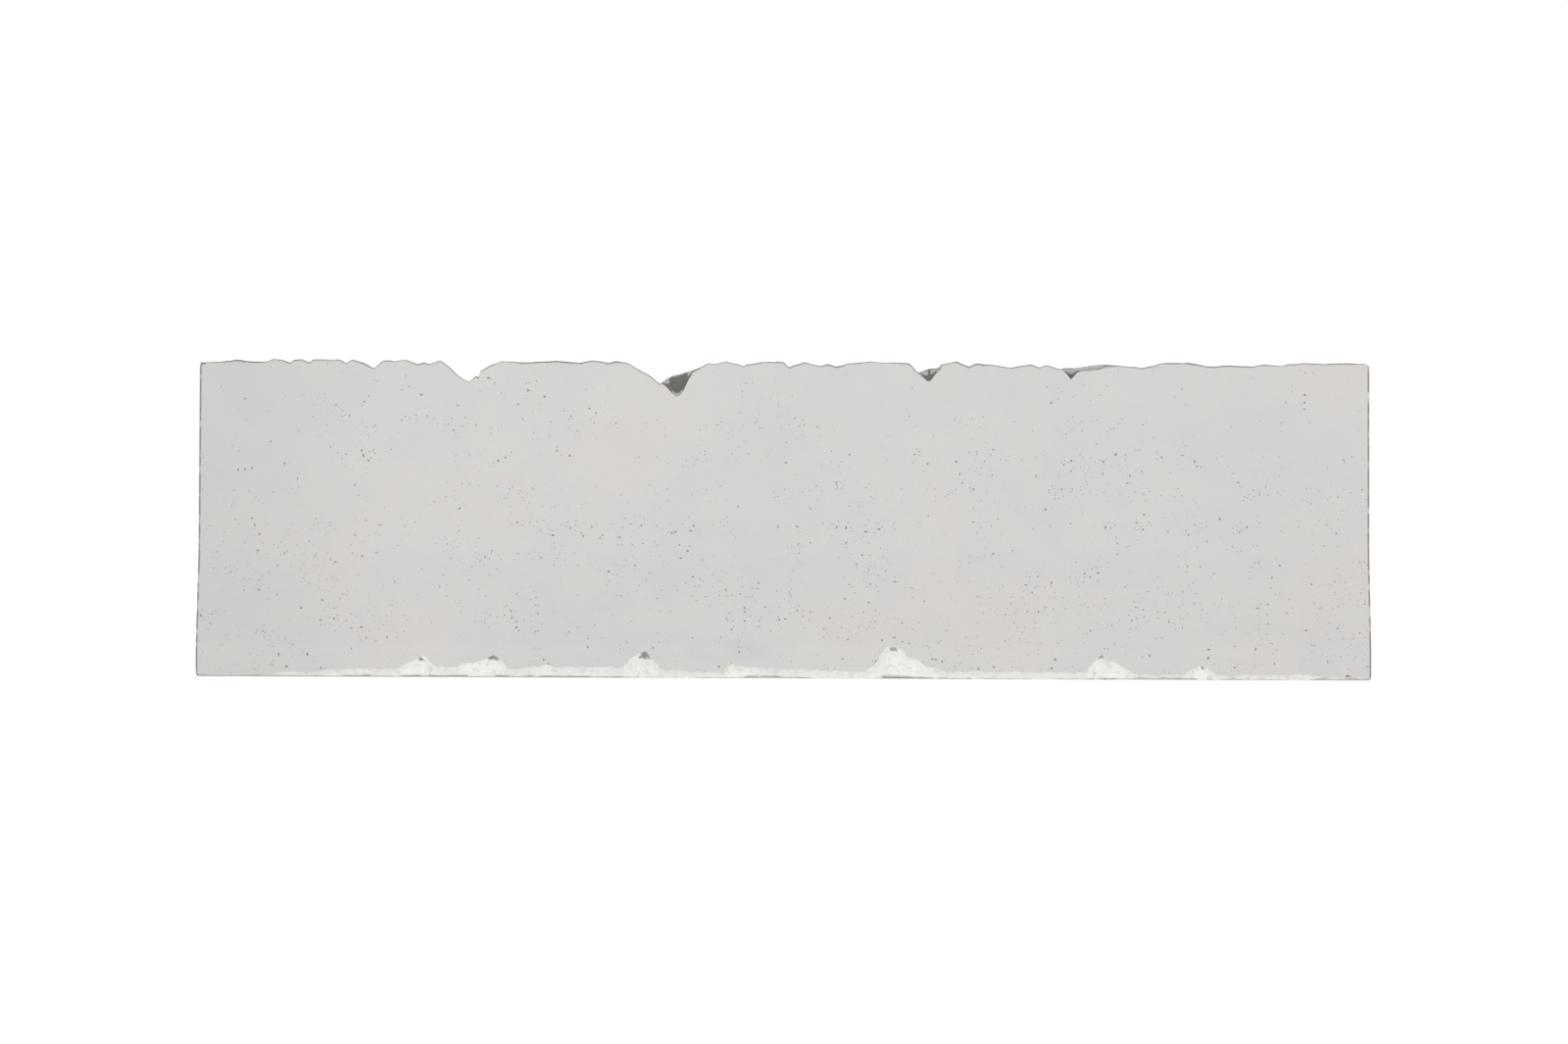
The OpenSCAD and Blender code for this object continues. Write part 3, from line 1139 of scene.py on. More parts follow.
        # Dark tone of the crown's breaks: dirt with painted shade.
        tone = line_through(wear.crown_tone, x)[:, None] / MM
        size = (rim - level)[:, None]
        deep = size > 9 * MM
        pale_from = np.where(size > 30 * MM, 0.86, 0.48)
        bottom = (size > 44 * MM) * (upper < 0.25) * 0.6
        dirty_shaded_break = np.maximum(tone - 0.7 * smooth_step((upper - pale_from) / 0.12) - bottom, 0.3)
        dark = np.where(deep, dirty_shaded_break, 0.3)
        # Painted shade line along the top of the crown's break.
        crest = smooth_step((upper - np.where(deep, 0.86, 0.45)) / 0.12) * 0.9
        # Painted highlight in a thin rim along the right flank of a deep chip.
        flank = smooth_step(0.35 - np.gradient(rim, x))[:, None] * (size > 20 * MM)
        halo = np.zeros(face.shape[:2])
        halo[:, -len(self.HIGH_DROPS):] = flank * smooth_step(1.0 - (drops - rim[:, None]) / (5 * MM))
        return np.concatenate(
            [
                self.foot_break(x, wear, edge, lip, face[:, 0]),
                # The face's first line is pale too: freshly broken colour with painted light.
                self.zone(face[:, :1], fresh=0.7),
                self.zone(face[:, 1:-1], fresh=halo[:, 1:-1]),
                self.zone(face[:, -1:], dark=dark[:, :1]),
                self.zone(crown, dark=np.clip(dark, 0.0, 1.0), line=crest),
            ],
            axis=1,
        )

    def gaps(self, count: int) -> np.ndarray:
        """Least distances of face lines from a broken edge, growing line by line."""
        return np.arange(count) * self.LINE_GAP * MM

    def zone(self, shape: np.ndarray, **channels: Union[np.ndarray, float]) -> np.ndarray:
        """Adds the channels to the points of a zone, 0 where none is given."""
        values = [np.broadcast_to(channels.get(name, 0.0), shape.shape[:2]) for name in self.CHANNELS]
        return np.concatenate([shape, np.stack(values, axis=-1)], axis=-1)

    def under(self, lip: np.ndarray) -> np.ndarray:
        """Lines of the underside from near the middle out to a side's lip, rising to it at the last.

        Args:
            lip: The side's first points, one for each station.

        Returns:
            Array of station, point, channel.
        """
        share = np.array(self.UNDER_SHARES)[None, :]
        out = lip[:, None, 0] * share
        height = self.bed + (lip[:, None, 1] - self.bed) * smooth_step((share - 0.8) / 0.25)
        return self.zone(np.stack([out, height], axis=-1))

    def rings(self, x: np.ndarray) -> np.ndarray:
        """Closed rings of the body, one for each station.

        Each ring runs from the middle of the underside to the front, up the front face, over the
        crown and down the back, so that it turns clockwise seen from the right end.

        Args:
            x: Places of the stations.

        Returns:
            Array of station, point, channel: y, z, then CHANNELS.
        """
        front, back = self.side(x, self.front), self.side(x, self.back)
        share = np.linspace(0.0, 1.0, self.TOP_LINES + 2)[1:-1]
        across = -front[:, -1:, 0] + (front[:, -1:, 0] + back[:, -1:, 0]) * share
        dip = self.crown.dip(x[:, None], across) * np.sin(math.pi * share) ** 0.5
        top = np.stack([across, self.section.height - self.crown.level(x)[:, None] - dip], axis=-1)
        middle = np.stack([np.zeros(len(x)), np.full(len(x), self.bed)], axis=1)[:, None]
        mirrored = np.ones(2 + len(self.CHANNELS))
        mirrored[0] = -1.0
        return np.concatenate(
            [
                self.zone(middle),
                self.under(front[:, 0]) * mirrored,
                front * mirrored,
                self.zone(top, top=1.0),
                back[:, ::-1],
                self.under(back[:, 0])[:, ::-1],
            ],
            axis=1,
        )

    def drawn_in(self, ring: np.ndarray, distance: float) -> np.ndarray:
        """A ring with each point moved towards the heart of the section by a distance.

        Args:
            ring: Points with their channels.
            distance: Distance in metres.

        Returns:
            The moved ring, with the same channels.
        """
        moved = ring.copy()
        way = ring[:, :2] - self.heart
        moved[:, :2] -= unit(way) * distance
        return moved

    def shrunk(self, ring: np.ndarray, share: float) -> np.ndarray:
        """A ring scaled about the heart of the section, without its channels."""
        moved = np.zeros_like(ring)
        moved[:, :2] = (ring[:, :2] - self.heart) * share + self.heart
        return moved

    def skin(self) -> bpy.types.Object:
        """The whole body before its recesses: rings from end to end, rounded into flat end faces.

        Returns:
            The closed body, with each channel as a number on its points.
        """
        reach = self.length / 2 - self.end_round
        x = np.linspace(-reach, reach, self.STATIONS)
        body = self.rings(x)
        turns = np.radians(self.END_TURNS)
        outer_x = [reach + self.end_round * math.sin(a) for a in turns]
        outer_x += [self.length / 2] * len(self.END_SHARES)

        def end_rings(ring: np.ndarray) -> np.ndarray:
            """Rings that round off an end and close in on its middle.

            Args:
                ring: The last ring of the body at that end.

            Returns:
                Array of ring, point, channel, from the body outwards.
            """
            arc = [self.drawn_in(ring, self.end_round * (1 - math.cos(a))) for a in turns]
            # The end's rounded arris carries the painted shade line.
            for turned in arc:
                turned[:, 2 + self.CHANNELS.index("line")] = 0.8
            return np.stack(arc + [self.shrunk(arc[-1], share) for share in self.END_SHARES])

        rings = np.concatenate([end_rings(body[0])[::-1], body, end_rings(body[-1])])
        stations = np.concatenate([-np.array(outer_x)[::-1], x, np.array(outer_x)])
        count, across = rings.shape[:2]
        places = np.broadcast_to(stations[:, None, None], (count, across, 1))
        points = np.concatenate([places, rings[..., :2]], axis=-1).reshape(-1, 3)
        hearts = np.array([[-self.length / 2, *self.heart], [self.length / 2, *self.heart]])
        faces = grid_quads(count, across)[:, ::-1].tolist()
        first, last = count * across, (count - 1) * across
        faces += [[first, k, (k + 1) % across] for k in range(across)]
        faces += [[first + 1, last + (k + 1) % across, last + k] for k in range(across)]
        made = new_piece("concrete_skin", np.vstack([points, hearts]), faces)
        for number, name in enumerate(self.CHANNELS):
            layer = made.data.attributes.new(name, "FLOAT", "POINT")
            values = np.concatenate([rings[..., 2 + number].ravel(), np.zeros(2)])
            layer.data.foreach_set("value", values.astype(np.float32))
        return made

    def build(self, cutters: Sequence[bpy.types.Object]) -> bpy.types.Object:
        """The body with its end pockets and lifting recesses, dressed and set on the frame.

        Args:
            cutters: Closed meshes that are taken out of it.

        Returns:
            The finished piece.
        """
        made = self.skin()
        carve(made, cutters)
        stand_for(made, "concrete_body", ConcreteFinish().material())
        return made


# ---------------------------------------------------------------- steel


@dataclass(frozen=True)
class SlotTube:
    """Square hollow section with a slot in its end wall, cast upright into an end."""

    end: End
    wall: float = 8 * MM
    slot: float = 40 * MM
    outer_round: float = 11 * MM
    inner_round: float = 5 * MM
    edge_round: float = 1 * MM
    clearance: float = 0.15 * MM
    ease: float = 0.8 * MM
    top_drop: float = 9 * MM
    set_back: float = 0.6 * MM
    past_end: float = 0.6 * MM
    past_crown: float = 50 * MM
    corner_steps: int = 7

    def outline(self, inner_x: float, outer_x: float, half: float) -> np.ndarray:
        """Cross-section as (x, y) points: the square tube open at its slot, corners rounded.

        Args:
            inner_x: Place of its inner wall.
            outer_x: Place of its slotted wall.
            half: Half of its width.

        Returns:
            The points, counterclockwise seen from above.
        """
        wall, slot = self.wall, self.slot / 2
        corners = np.array(
            [
                [outer_x, slot],
                [outer_x, half],
                [inner_x, half],
                [inner_x, -half],
                [outer_x, -half],
                [outer_x, -slot],
                [outer_x - wall, -slot],
                [outer_x - wall, -half + wall],
                [inner_x + wall, -half + wall],
                [inner_x + wall, half - wall],
                [outer_x - wall, half - wall],
                [outer_x - wall, slot],
            ]
        )
        o, i, e = self.outer_round, self.inner_round, self.edge_round
        reach = np.array([e, o, o, o, o, e, e, i, i, i, i, e])
        return soften(corners, reach, self.corner_steps, True)

    def upright(self, flat: np.ndarray, stack: Sequence[tuple[float, float]]) -> np.ndarray:
        """Rings of an outline at the (height, inset) pairs of a stack, turned to this end.

        Args:
            flat: Outline (x, y) for the right end, counterclockwise seen from above.
            stack: Heights, with how far the outline is moved in at each.

        Returns:
            Array of ring, point, coordinate.
        """
        along = unit(np.roll(flat, -1, axis=0) - np.roll(flat, 1, axis=0))
        inward = np.stack([-along[:, 1], along[:, 0]], axis=1)
        rings = np.stack(
            [np.column_stack([flat + inward * inset, np.full(len(flat), z)]) for z, inset in stack]
        )
        return rings[:, ::-1] * [-1.0, 1.0, 1.0] if self.end is End.LEFT else rings

    def build(self, material: bpy.types.Material) -> bpy.types.Object:
        """The tube as rings up its height, with its cut ends eased.

        Args:
            material: Finish of the tube.

        Returns:
            The finished piece.
        """
        low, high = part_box(self.end.node("slot_tube"))
        width, half = high.x - low.x, (high.y - low.y) / 2 - self.clearance
        inner = min(abs(low.x), abs(high.x)) + self.clearance
        flat = self.outline(inner, inner + width - self.clearance - self.set_back, half)
        top, ease = high.z - self.top_drop, self.ease
        rings = self.upright(flat, [(low.z, ease), (low.z + ease, 0.0), (top - ease, 0.0), (top, ease)])
        made = loft(self.end.node("slot_tube_shell"), rings, band=True)
        stand_for(made, self.end.node("slot_tube"), material)
        return made

    def cutter(self) -> bpy.types.Object:
        """The room for the tube and its seat plate in the concrete, open at the end and the crown.

        Returns:
            The closed mesh to take away.
        """
        low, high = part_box(self.end.node("slot_tube"))
        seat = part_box(self.end.node("seat_plate"))[0].z
        inner, outer = sorted((abs(low.x), abs(high.x)))
        half, face = high.y, outer + self.past_end
        corners = np.array([[face, half], [inner, half], [inner, -half], [face, -half]])
        flat = soften(corners, np.full(4, self.outer_round), self.corner_steps, True)
        rings = self.upright(flat, [(seat, 0.0), (high.z + self.past_crown, 0.0)])
        return loft(self.end.node("pocket_cutter"), rings)


@dataclass(frozen=True)
class LiftingAnchor:
    """Forged pin with a broad foot, a slim shank and a round head."""

    end: End
    recess: float = 37 * MM
    shank: float = 7 * MM
    head: float = 13 * MM
    head_height: float = 9 * MM
    foot_flat: float = 4 * MM
    corner_steps: int = 6
    sides: int = 48
    ball_sides: int = 64
    ball_steps: int = 25

    REACHES = (0.0, 1.0, 1.0, 6.0, 5.0, 1.2, 2.2, 0.0)

    def on_axis(self, height: float) -> Vector:
        """The point of the anchor's axis at a height."""
        low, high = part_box(self.end.node("lifting_anchor"))
        return Vector(((low.x + high.x) / 2, (low.y + high.y) / 2, height))

    def build(self, material: bpy.types.Material) -> bpy.types.Object:
        """The anchor as a turned profile with eased corners and filleted shoulders.

        Args:
            material: Finish of the anchor.

        Returns:
            The finished piece.
        """
        low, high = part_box(self.end.node("lifting_anchor"))
        foot, tall = (high.x - low.x) / 2, high.z - low.z
        corners = np.array(
            [
                [0.0, 0.0],
                [foot, 0.0],
                [foot, self.foot_flat],
                [self.shank, self.foot_flat + foot - self.shank],
                [self.shank, tall - self.head_height - (self.head - self.shank)],
                [self.head, tall - self.head_height],
                [self.head, tall],
                [0.0, tall],
            ]
        )
        profile = soften(corners, np.array(self.REACHES) * MM, self.corner_steps, False)
        made = lathe(self.end.node("forged_anchor"), profile, self.on_axis(low.z), self.sides)
        stand_for(made, self.end.node("lifting_anchor"), material)
        return made

    def cutter(self, crown: float) -> bpy.types.Object:
        """The half-round recess about the head, as a whole ball centred on the crown's plane."""
        angle = np.linspace(-math.pi / 2, math.pi / 2, self.ball_steps)
        profile = np.stack([np.cos(angle), np.sin(angle)], axis=1) * self.recess
        return lathe(self.end.node("recess_cutter"), profile, self.on_axis(crown), self.ball_sides)


@dataclass(frozen=True)
class RolledBar:
    """Reinforcing bar: a round core, two lengthwise ribs and slanted ribs on its two flanks.

    The pitch is the distance between slanted ribs, rib their height as a share of the diameter
    and slant how far a rib leans, as a share of the pitch.
    """

    diameter: float
    pitch: float
    sides: int
    rib: float = 0.055
    slant: float = 0.45
    rings_per_rib: int = 4

    def angles(self) -> np.ndarray:
        """Angles of the points of a ring."""
        return np.linspace(0.0, 2.0 * math.pi, self.sides, endpoint=False)

    def radius(self, along: np.ndarray, pitch: float) -> np.ndarray:
        """Radius over places along the bar and angles round it.

        With a the angle, the flanks' ribs are the crests of along / pitch + slant cos a, half a
        pitch apart on the two flanks, and they fade where |sin a| is small. The lengthwise ribs
        stand where |cos a| is 1. The higher of the two stands on the core.

        Args:
            along: Places along the bar, one for each ring.
            pitch: Distance between slanted ribs.

        Returns:
            Radius over rings and angles.
        """
        a = self.angles()[None, :]
        phase = along[:, None] / pitch + self.slant * np.cos(a) + 0.5 * (np.sin(a) < 0)
        crest = smooth_step(1.6 - 4.0 * np.abs(phase - np.floor(phase) - 0.5))
        flank = crest * smooth_step(2.0 * np.abs(np.sin(a)) - 0.2)
        seam = smooth_step(12.0 * np.abs(np.cos(a)) - 11.0)
        height = self.rib * self.diameter
        return self.diameter / 2 - height + height * np.maximum(flank, seam)

    def straight(self, low_x: float, high_x: float, y: float, z: float) -> np.ndarray:
        """Rings of a bar along X, as ring, point, coordinate.

        Args:
            low_x: Where it starts.
            high_x: Where it ends.
            y: Its place across.
            z: Its height.

        Returns:
            Array of ring, point, coordinate.
        """
        count = round((high_x - low_x) / self.pitch) * self.rings_per_rib
        x = np.linspace(low_x, high_x, count)
        r, a = self.radius(x - low_x, self.pitch), self.angles()
        across = np.broadcast_to(x[:, None], r.shape)
        return np.stack([across, y + r * np.cos(a), z + r * np.sin(a)], axis=-1)

    def bent(self, line: np.ndarray, x: float) -> np.ndarray:
        """Rings of a closed loop in the plane at x.

        The loop is walked at even steps, and a ring stands square to it: a point is
        P + r (cos a X + sin a N), where N is the walking direction crossed with X.

        Args:
            line: Points (y, z) of the loop, counterclockwise seen from +X.
            x: Place of its plane.

        Returns:
            Array of ring, point, coordinate.
        """
        closed = np.vstack([line, line[:1]])
        marks = np.concatenate([[0.0], np.cumsum(np.linalg.norm(np.diff(closed, axis=0), axis=1))])
        ribs = round(marks[-1] / self.pitch)
        along = np.linspace(0.0, marks[-1], ribs * self.rings_per_rib, endpoint=False)
        path = np.stack([np.interp(along, marks, closed[:, k]) for k in (0, 1)], axis=1)
        walk = unit(np.roll(path, -1, axis=0) - np.roll(path, 1, axis=0))
        normal = np.stack([walk[:, 1], -walk[:, 0]], axis=1)
        r, a = self.radius(along, marks[-1] / ribs), self.angles()
        place = path[:, None] + (r * np.sin(a))[..., None] * normal[:, None]
        return np.concatenate([(x + r * np.cos(a))[..., None], place], axis=-1)


@dataclass(frozen=True)
class Cage:
    """Long bars, stirrups and the tubes' anchor bars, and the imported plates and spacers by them."""

    section: Section
    bar: RolledBar = RolledBar(16 * MM, 10 * MM, 12)
    wire: RolledBar = RolledBar(10 * MM, 7 * MM, 8)
    cover: float = 40 * MM
    crown_cover: float = 70 * MM
    bend: float = 25 * MM
    bend_share: float = 0.45
    bend_steps: int = 9
    anchor_levels: tuple[float, ...] = (0.15, 0.45, 0.75)

    def stirrup_corners(self) -> np.ndarray:
        """Corners of a stirrup's centre line: the section without its toe, its sides moved in.

        A corner p is where its two sides meet after the move, so it solves n . p = n . q for both,
        with n a side's inward normal and q a point on the moved side.

        Returns:
            Six corners (y, z), counterclockwise seen from +X.
        """
        s = self.section
        run = (s.foot - s.change) / (s.change_height - s.toe_height)
        foot = s.foot + s.toe_height * run
        half = np.array([[foot, 0.0], [s.change, s.change_height], [s.crown, s.height]])
        outline = np.vstack([half, half[::-1] * [-1.0, 1.0]])
        inset = np.full(len(outline), self.cover + self.wire.diameter / 2)
        inset[2] = self.crown_cover + self.wire.diameter / 2
        along = unit(np.roll(outline, -1, axis=0) - outline)
        inward = np.stack([-along[:, 1], along[:, 0]], axis=1)
        reach = np.sum(inward * outline, axis=1) + inset
        sides = np.stack([np.roll(inward, 1, axis=0), inward], axis=1)
        return np.linalg.solve(sides, np.stack([np.roll(reach, 1), reach], axis=1)[..., None])[..., 0]

    def stirrup_line(self) -> np.ndarray:
        """The centre line with each corner bent to an arc.

        The arc's radius is bend, or less where it would take more than bend_share of a short side.

        Returns:
            Points (y, z) of the closed line.
        """
        corners = self.stirrup_corners()
        into, out = corners - np.roll(corners, 1, axis=0), np.roll(corners, -1, axis=0) - corners
        u, w = unit(into), unit(out)
        turn = np.arctan2(u[:, 0] * w[:, 1] - u[:, 1] * w[:, 0], np.sum(u * w, axis=1))
        short = np.minimum(np.linalg.norm(into, axis=1), np.linalg.norm(out, axis=1))
        tangent = np.tan(np.abs(turn) / 2)
        radius = np.minimum(self.bend, self.bend_share * short / tangent)
        spoke = np.stack([u[:, 1], -u[:, 0]], axis=1) * (radius * np.sign(turn))[:, None]
        centre = corners - u * (radius * tangent)[:, None] - spoke
        t = turn[:, None] * np.linspace(0.0, 1.0, self.bend_steps)
        y = spoke[:, :1] * np.cos(t) - spoke[:, 1:] * np.sin(t)
        z = spoke[:, :1] * np.sin(t) + spoke[:, 1:] * np.cos(t)
        return (centre[:, None] + np.stack([y, z], axis=-1)).reshape(-1, 2)

    def long_bar(self, node: str) -> bpy.types.Object:
        """One long bar, from end to end of its node's box."""
        low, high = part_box(node)
        middle = (low + high) / 2
        return loft(f"ribbed_{node}", self.bar.straight(low.x, high.x, middle.y, middle.z))

    def stirrup(self, node: str) -> bpy.types.Object:
        """One closed stirrup, in the plane of its node.

        Args:
            node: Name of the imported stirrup.

        Returns:
            The piece.
        """
        low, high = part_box(node)
        rings = self.wire.bent(self.stirrup_line(), (low.x + high.x) / 2)
        faces = grid_quads(*rings.shape[:2], looped=True)
        return new_piece(f"bent_{node}", rings.reshape(-1, 3), faces)

    def anchor_bars(self, node: str, tube: str, packed: bpy.types.Object) -> bpy.types.Object:
        """The pairs of bars behind a tube, one pair at each level, as far apart as they were packed.

        Args:
            node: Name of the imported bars.
            tube: Name of the tube they are welded to.
            packed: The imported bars, which say how far apart a pair is.

        Returns:
            The piece, one solid for each bar.
        """
        low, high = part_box(node)
        foot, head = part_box(tube)
        points = np.empty((len(packed.data.vertices), 3))
        packed.data.vertices.foreach_get("co", points.ravel())
        stacks = []
        for level in self.anchor_levels:
            z = foot.z + level * (head.z - foot.z)
            near = points[np.abs(points[:, 2] - z) < self.bar.diameter]
            y = near[:, 1].max() - self.bar.diameter / 2
            stacks += [self.bar.straight(low.x, high.x, side * y, z) for side in (-1, 1)]
        return loft(f"ribbed_{node}", *stacks)

    def build(self, nodes: dict[str, bpy.types.Object]) -> None:
        """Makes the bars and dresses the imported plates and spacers.

        Args:
            nodes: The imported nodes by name.
        """
        rusted, steel, mortar = REBAR.material(), SLOT_STEEL.material(), MortarFinish().material()
        for name, node in list(nodes.items()):
            made = None
            if name.startswith("stirrup_"):
                made = self.stirrup(name)
            elif name.startswith("tube_anchor_bars_"):
                made = self.anchor_bars(name, name.replace("tube_anchor_bars", "slot_tube"), node)
            elif "_bar_" in name:
                made = self.long_bar(name)
            elif name.startswith("seat_plate_"):
                dress(node, steel)
            elif name == "cover_spacers":
                dress(node, mortar)
            if made:
                stand_for(made, name, rusted)


# ---------------------------------------------------------------- how this segment is broken

# Places along the segment run from its left end, at -1500, to its right end, seen from the front.

FRONT = FaceWear(
    foot_strip=(
        (-1500, 15), (-1486, 7), (-1300, 7), (-1288, 13), (-1190, 14), (-1165, 18), (-1100, 22),
        (-990, 22), (-886, 28), (-690, 22), (-640, 28), (-440, 26), (-296, 21), (-185, 16), (-60, 28),
        (0, 26), (150, 20), (440, 20), (740, 18), (905, 13), (1340, 15), (1352, 10), (1500, 9),
    ),
    foot_lip=(
        (-1500, 10), (-1488, 5), (-1300, 5), (-1170, 4), (-740, 4), (-400, 3), (-225, 1), (-60, 6),
        (0, 6), (70, 2), (180, 1), (250, 3), (600, 1), (830, 1), (900, 5), (1000, 5), (1105, 1),
        (1145, 4), (1190, 1), (1240, 4), (1300, 1), (1345, 1), (1360, 5), (1500, 6),
    ),
    foot_chips=(
        Chip(-926, ((-64, 18), (-40, 32), (-14, 43), (0, 55), (14, 53), (22, 42), (42, 24)), (16, 13)),
        Chip(
            -741,
            ((-88, 24), (-80, 39), (-45, 38), (-30, 44), (0, 61), (20, 46), (38, 24), (46, 14)),
            (33, 16),
        ),
        Chip(-605, ((-36, 22), (-12, 30), (0, 34), (16, 29), (30, 20))),
        Chip(
            -352,
            ((-60, 24), (-40, 52), (-20, 63), (0, 73), (14, 54), (24, 46), (37, 26), (56, 16)),
            (33, 23),
        ),
        Chip(-132, ((-30, 14), (-14, 27), (0, 34), (36, 31), (74, 30))),
        Chip(
            270,
            (
                (-58, 24), (-38, 35), (-23, 62), (-8, 85), (10, 87), (26, 81), (40, 69), (53, 54), (70, 51),
                (80, 44), (94, 32), (118, 29), (150, 20),
            ),
            (23, 12),
        ),
        Chip(
            812,
            ((-62, 24), (-40, 18), (-32, 34), (-13, 54), (0, 69), (15, 51), (44, 42), (73, 23), (92, 12)),
            (10, 12),
        ),
        Chip(1066, ((-40, 18), (-18, 30), (0, 39), (17, 31), (38, 12)), (9, 9)),
        Chip(1440, ((-11, 9), (0, 19), (9, 9)), (12, 12)),
    ),
    crown_chips=(
        Chip(
            -275,
            ((-41, 56), (-20, 76), (-9, 90), (-2, 93), (7, 91), (19, 71), (31, 43), (41, 31), (62, 20)),
        ),
        Chip(370, ((-34, 22), (-20, 36), (-4, 50), (4, 51), (12, 40), (20, 28), (34, 20))),
        Chip(735, ((-22, 18), (-10, 32), (0, 45), (10, 33), (17, 25), (55, 21), (119, 10))),
    ),
    crown_tone=(
        (-1500, 0.5), (-340, 0.5), (-316, 1.0), (-225, 1.0), (-200, 0.5), (335, 0.6), (345, 1.0),
        (392, 1.0), (400, 0.5), (712, 0.5), (720, 1.0), (750, 1.0), (756, 0.55), (1500, 0.5),
    ),
    seed=11,
)

BACK = FaceWear(
    foot_strip=((-1500, 14), (-1180, 18), (-700, 12), (-200, 20), (300, 15), (900, 22), (1500, 14)),
    foot_lip=((-1500, 4), (-900, 1), (-300, 5), (200, 2), (800, 4), (1500, 2)),
    foot_chips=(
        Chip.plain(-1120, 44, 60, 46),
        Chip.plain(-410, 70, 48, 62),
        Chip.plain(205, 40, 44, 34),
        Chip.plain(690, 66, 80, 72),
    ),
    crown_chips=(Chip.plain(-590, 34, 52, 26), Chip.plain(560, 62, 40, 38), Chip.plain(1180, 30, 38, 24)),
    crown_tone=((-1500, 0.55), (1500, 0.55)),
    seed=41,
)

CROWN = Crown(
    levels=(
        (-1500, 18), (-1494, 12), (-1484, 8), (-1410, 3), (-1328, 8), (-1313, 0), (-1290, 2),
        (-1268, 10), (-1261, 3), (-1243, 0), (-1233, 3), (-1219, 9), (-1208, 0), (-1183, 0),
        (-1165, 3), (-1147, 0), (-1125, 10), (-1111, 0), (-1095, 3), (-1078, 8), (-1062, 19),
        (-1052, 22), (-1040, 12), (-1029, 4), (-1010, 2), (-1004, 5), (-977, 0), (-950, 8), (-940, 12),
        (-926, 7), (-912, 12), (-892, 3), (-880, 4), (-860, 20), (-840, 38), (-822, 51), (-808, 57),
        (-789, 40), (-785, 47), (-780, 30), (-757, 16), (-724, 3), (-670, 8), (-586, 1), (-532, 7),
        (-489, 0), (-453, 8), (-434, 3), (-409, 5), (-394, 11), (-367, 27), (-345, 38), (-320, 59),
        (-305, 49), (-289, 40), (-266, 34), (-220, 19), (-197, 7), (-179, 11), (-149, 3), (-105, 14),
        (-98, 9), (-60, 3), (-2, 3), (11, 18), (25, 12), (51, 3), (92, 14), (112, 9), (132, 14),
        (162, 6), (215, 1), (322, 6), (342, 29), (372, 19), (394, 17), (403, 7), (443, 0), (473, 13),
        (493, 4), (583, 15), (633, 7), (653, 14), (673, 8), (706, 19), (764, 12), (804, 7), (854, 7),
        (914, 16), (964, 3), (1034, 1), (1105, 12), (1145, 6), (1195, 10), (1235, 3), (1275, 7),
        (1335, 0), (1385, 4), (1446, 0), (1488, 1), (1500, 9),
    ),
    seed=71,
)


# ---------------------------------------------------------------- studio


@dataclass(frozen=True)
class Sun:
    """A broad sun from an azimuth, 0 at the front, and an elevation in degrees."""

    name: str
    azimuth: float
    elevation: float
    strength: float
    breadth: float = 25.0

    def place(self) -> None:
        """Adds the lamp."""
        light = bpy.data.lights.new(self.name, "SUN")
        light.energy = self.strength
        light.angle = math.radians(self.breadth)
        lamp = bpy.data.objects.new(self.name, light)
        bpy.context.scene.collection.objects.link(lamp)
        a, e = math.radians(self.azimuth), math.radians(self.elevation)
        towards = Vector((math.sin(a) * math.cos(e), -math.cos(a) * math.cos(e), math.sin(e)))
        lamp.rotation_euler = towards.to_track_quat("Z", "Y").to_euler()


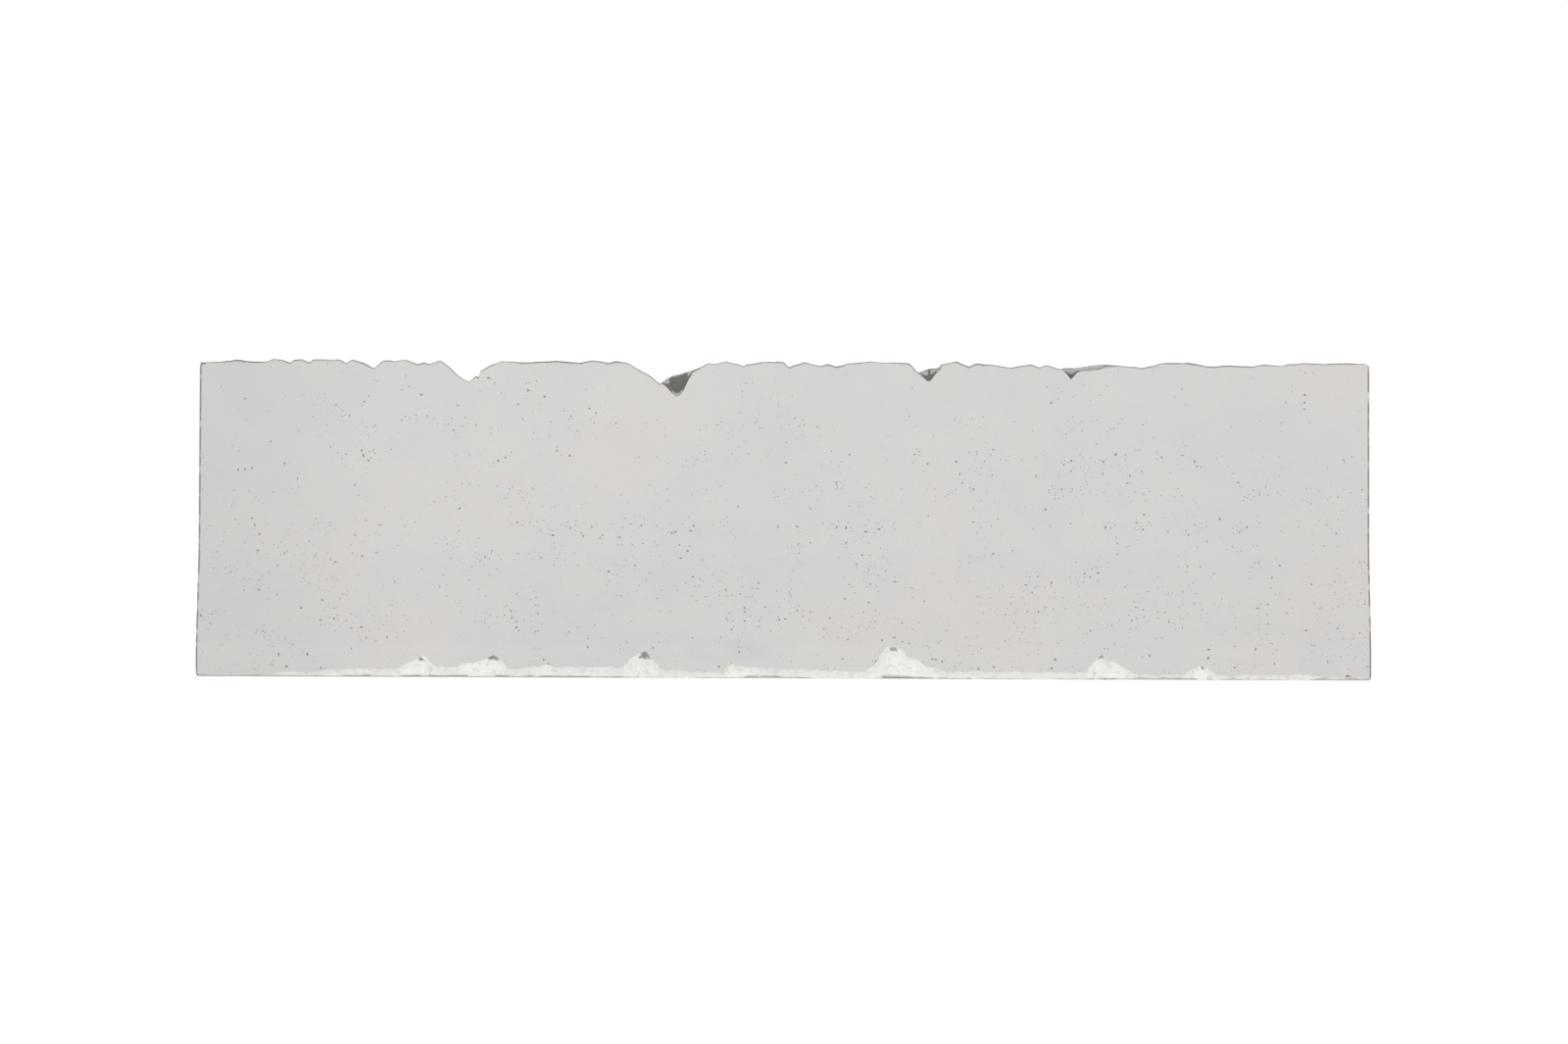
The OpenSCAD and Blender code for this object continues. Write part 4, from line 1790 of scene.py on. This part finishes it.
@dataclass(frozen=True)
class Studio:
    """White ground, soft light all round, a broad key from the front and a level, distant camera."""

    distance: float = 41.0
    view_width: float = 4.0
    eye_height: float = 0.40
    tilt: float = 0.22
    sensor: float = 36.0
    ground: float = 400.0
    ground_tone: float = 0.40
    ground_glow: float = 0.70
    sky: float = 0.85
    suns: tuple[Sun, ...] = (Sun("key", 0.0, 40.0, 0.80), Sun("fill", 180.0, 30.0, 0.30))

    def world(self) -> None:
        """White surroundings: full white where the camera sees them, softer as a light."""
        world = bpy.data.worlds.new("studio")
        bpy.context.scene.world = world
        world.use_nodes = True
        nodes, links = world.node_tree.nodes, world.node_tree.links
        nodes.clear()
        seen = nodes.new("ShaderNodeBackground")
        seen.inputs["Strength"].default_value = 1.0
        light = nodes.new("ShaderNodeBackground")
        light.inputs["Strength"].default_value = self.sky
        for background in (seen, light):
            background.inputs["Color"].default_value = (1.0, 1.0, 1.0, 1.0)
        path, mix = nodes.new("ShaderNodeLightPath"), nodes.new("ShaderNodeMixShader")
        output = nodes.new("ShaderNodeOutputWorld")
        links.new(path.outputs["Is Camera Ray"], mix.inputs[0])
        links.new(light.outputs[0], mix.inputs[1])
        links.new(seen.outputs[0], mix.inputs[2])
        links.new(mix.outputs[0], output.inputs["Surface"])

    def floor(self) -> None:
        """Pale ground, bright enough of itself to look white out to the horizon."""
        half = self.ground / 2
        corners = np.array([[-half, -half, 0.0], [half, -half, 0.0], [half, half, 0.0], [-half, half, 0.0]])
        made = new_piece("ground", corners, [[0, 1, 2, 3]])
        finish = Finish("pale_ground")
        finish.set("Base Color", (self.ground_tone,) * 3)
        finish.set("Roughness", 1.0)
        finish.set("Specular IOR Level", 0.0)
        finish.set("Emission Color", (1.0, 1.0, 1.0))
        finish.set("Emission Strength", self.ground_glow)
        dress(made, finish.material)

    def camera(self, foot: float) -> None:
        """Level camera straight in front, turned a little about its own axis.

        Args:
            foot: Half of the segment's depth at the foot.
        """
        data = bpy.data.cameras.new("view")
        data.sensor_width = self.sensor
        data.lens = self.sensor * self.distance / self.view_width
        data.clip_start, data.clip_end = 1.0, 1000.0
        eye = bpy.data.objects.new("view", data)
        bpy.context.scene.collection.objects.link(eye)
        eye.matrix_world = (
            Matrix.Translation((0.0, -foot - self.distance, self.eye_height))
            @ Matrix.Rotation(math.radians(90.0), 4, "X")
            @ Matrix.Rotation(math.radians(self.tilt), 4, "Z")
        )
        bpy.context.scene.camera = eye

    def build(self, foot: float) -> None:
        """Sets up the ground, the lights and the camera.

        Args:
            foot: Half of the segment's depth at the foot.
        """
        self.world()
        for sun in self.suns:
            sun.place()
        self.floor()
        self.camera(foot)
        bpy.context.scene.view_settings.view_transform = "Standard"


def main() -> None:
    """Builds every piece in order, each reported as it is dressed."""
    logging.basicConfig(level=logging.INFO, format="%(name)s: %(message)s")
    low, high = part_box("concrete_body")
    section = Section(
        foot=high.y,
        toe_height=75 * MM,
        change_height=330 * MM,
        change=127 * MM,
        crown=76 * MM,
        height=high.z,
    )
    tubes = [SlotTube(end) for end in End]
    anchors = [LiftingAnchor(end) for end in End]
    cutters = [tube.cutter() for tube in tubes] + [anchor.cutter(high.z) for anchor in anchors]
    ConcreteBody(section, high.x - low.x, CROWN, FRONT, BACK).build(cutters)
    steel, forged = SLOT_STEEL.material(), ANCHOR_STEEL.material()
    for part, material in [(t, steel) for t in tubes] + [(a, forged) for a in anchors]:
        part.build(material)
    Cage(section).build(frame["nodes"])
    Studio().build(high.y)


if __name__ == "__main__":
    main()
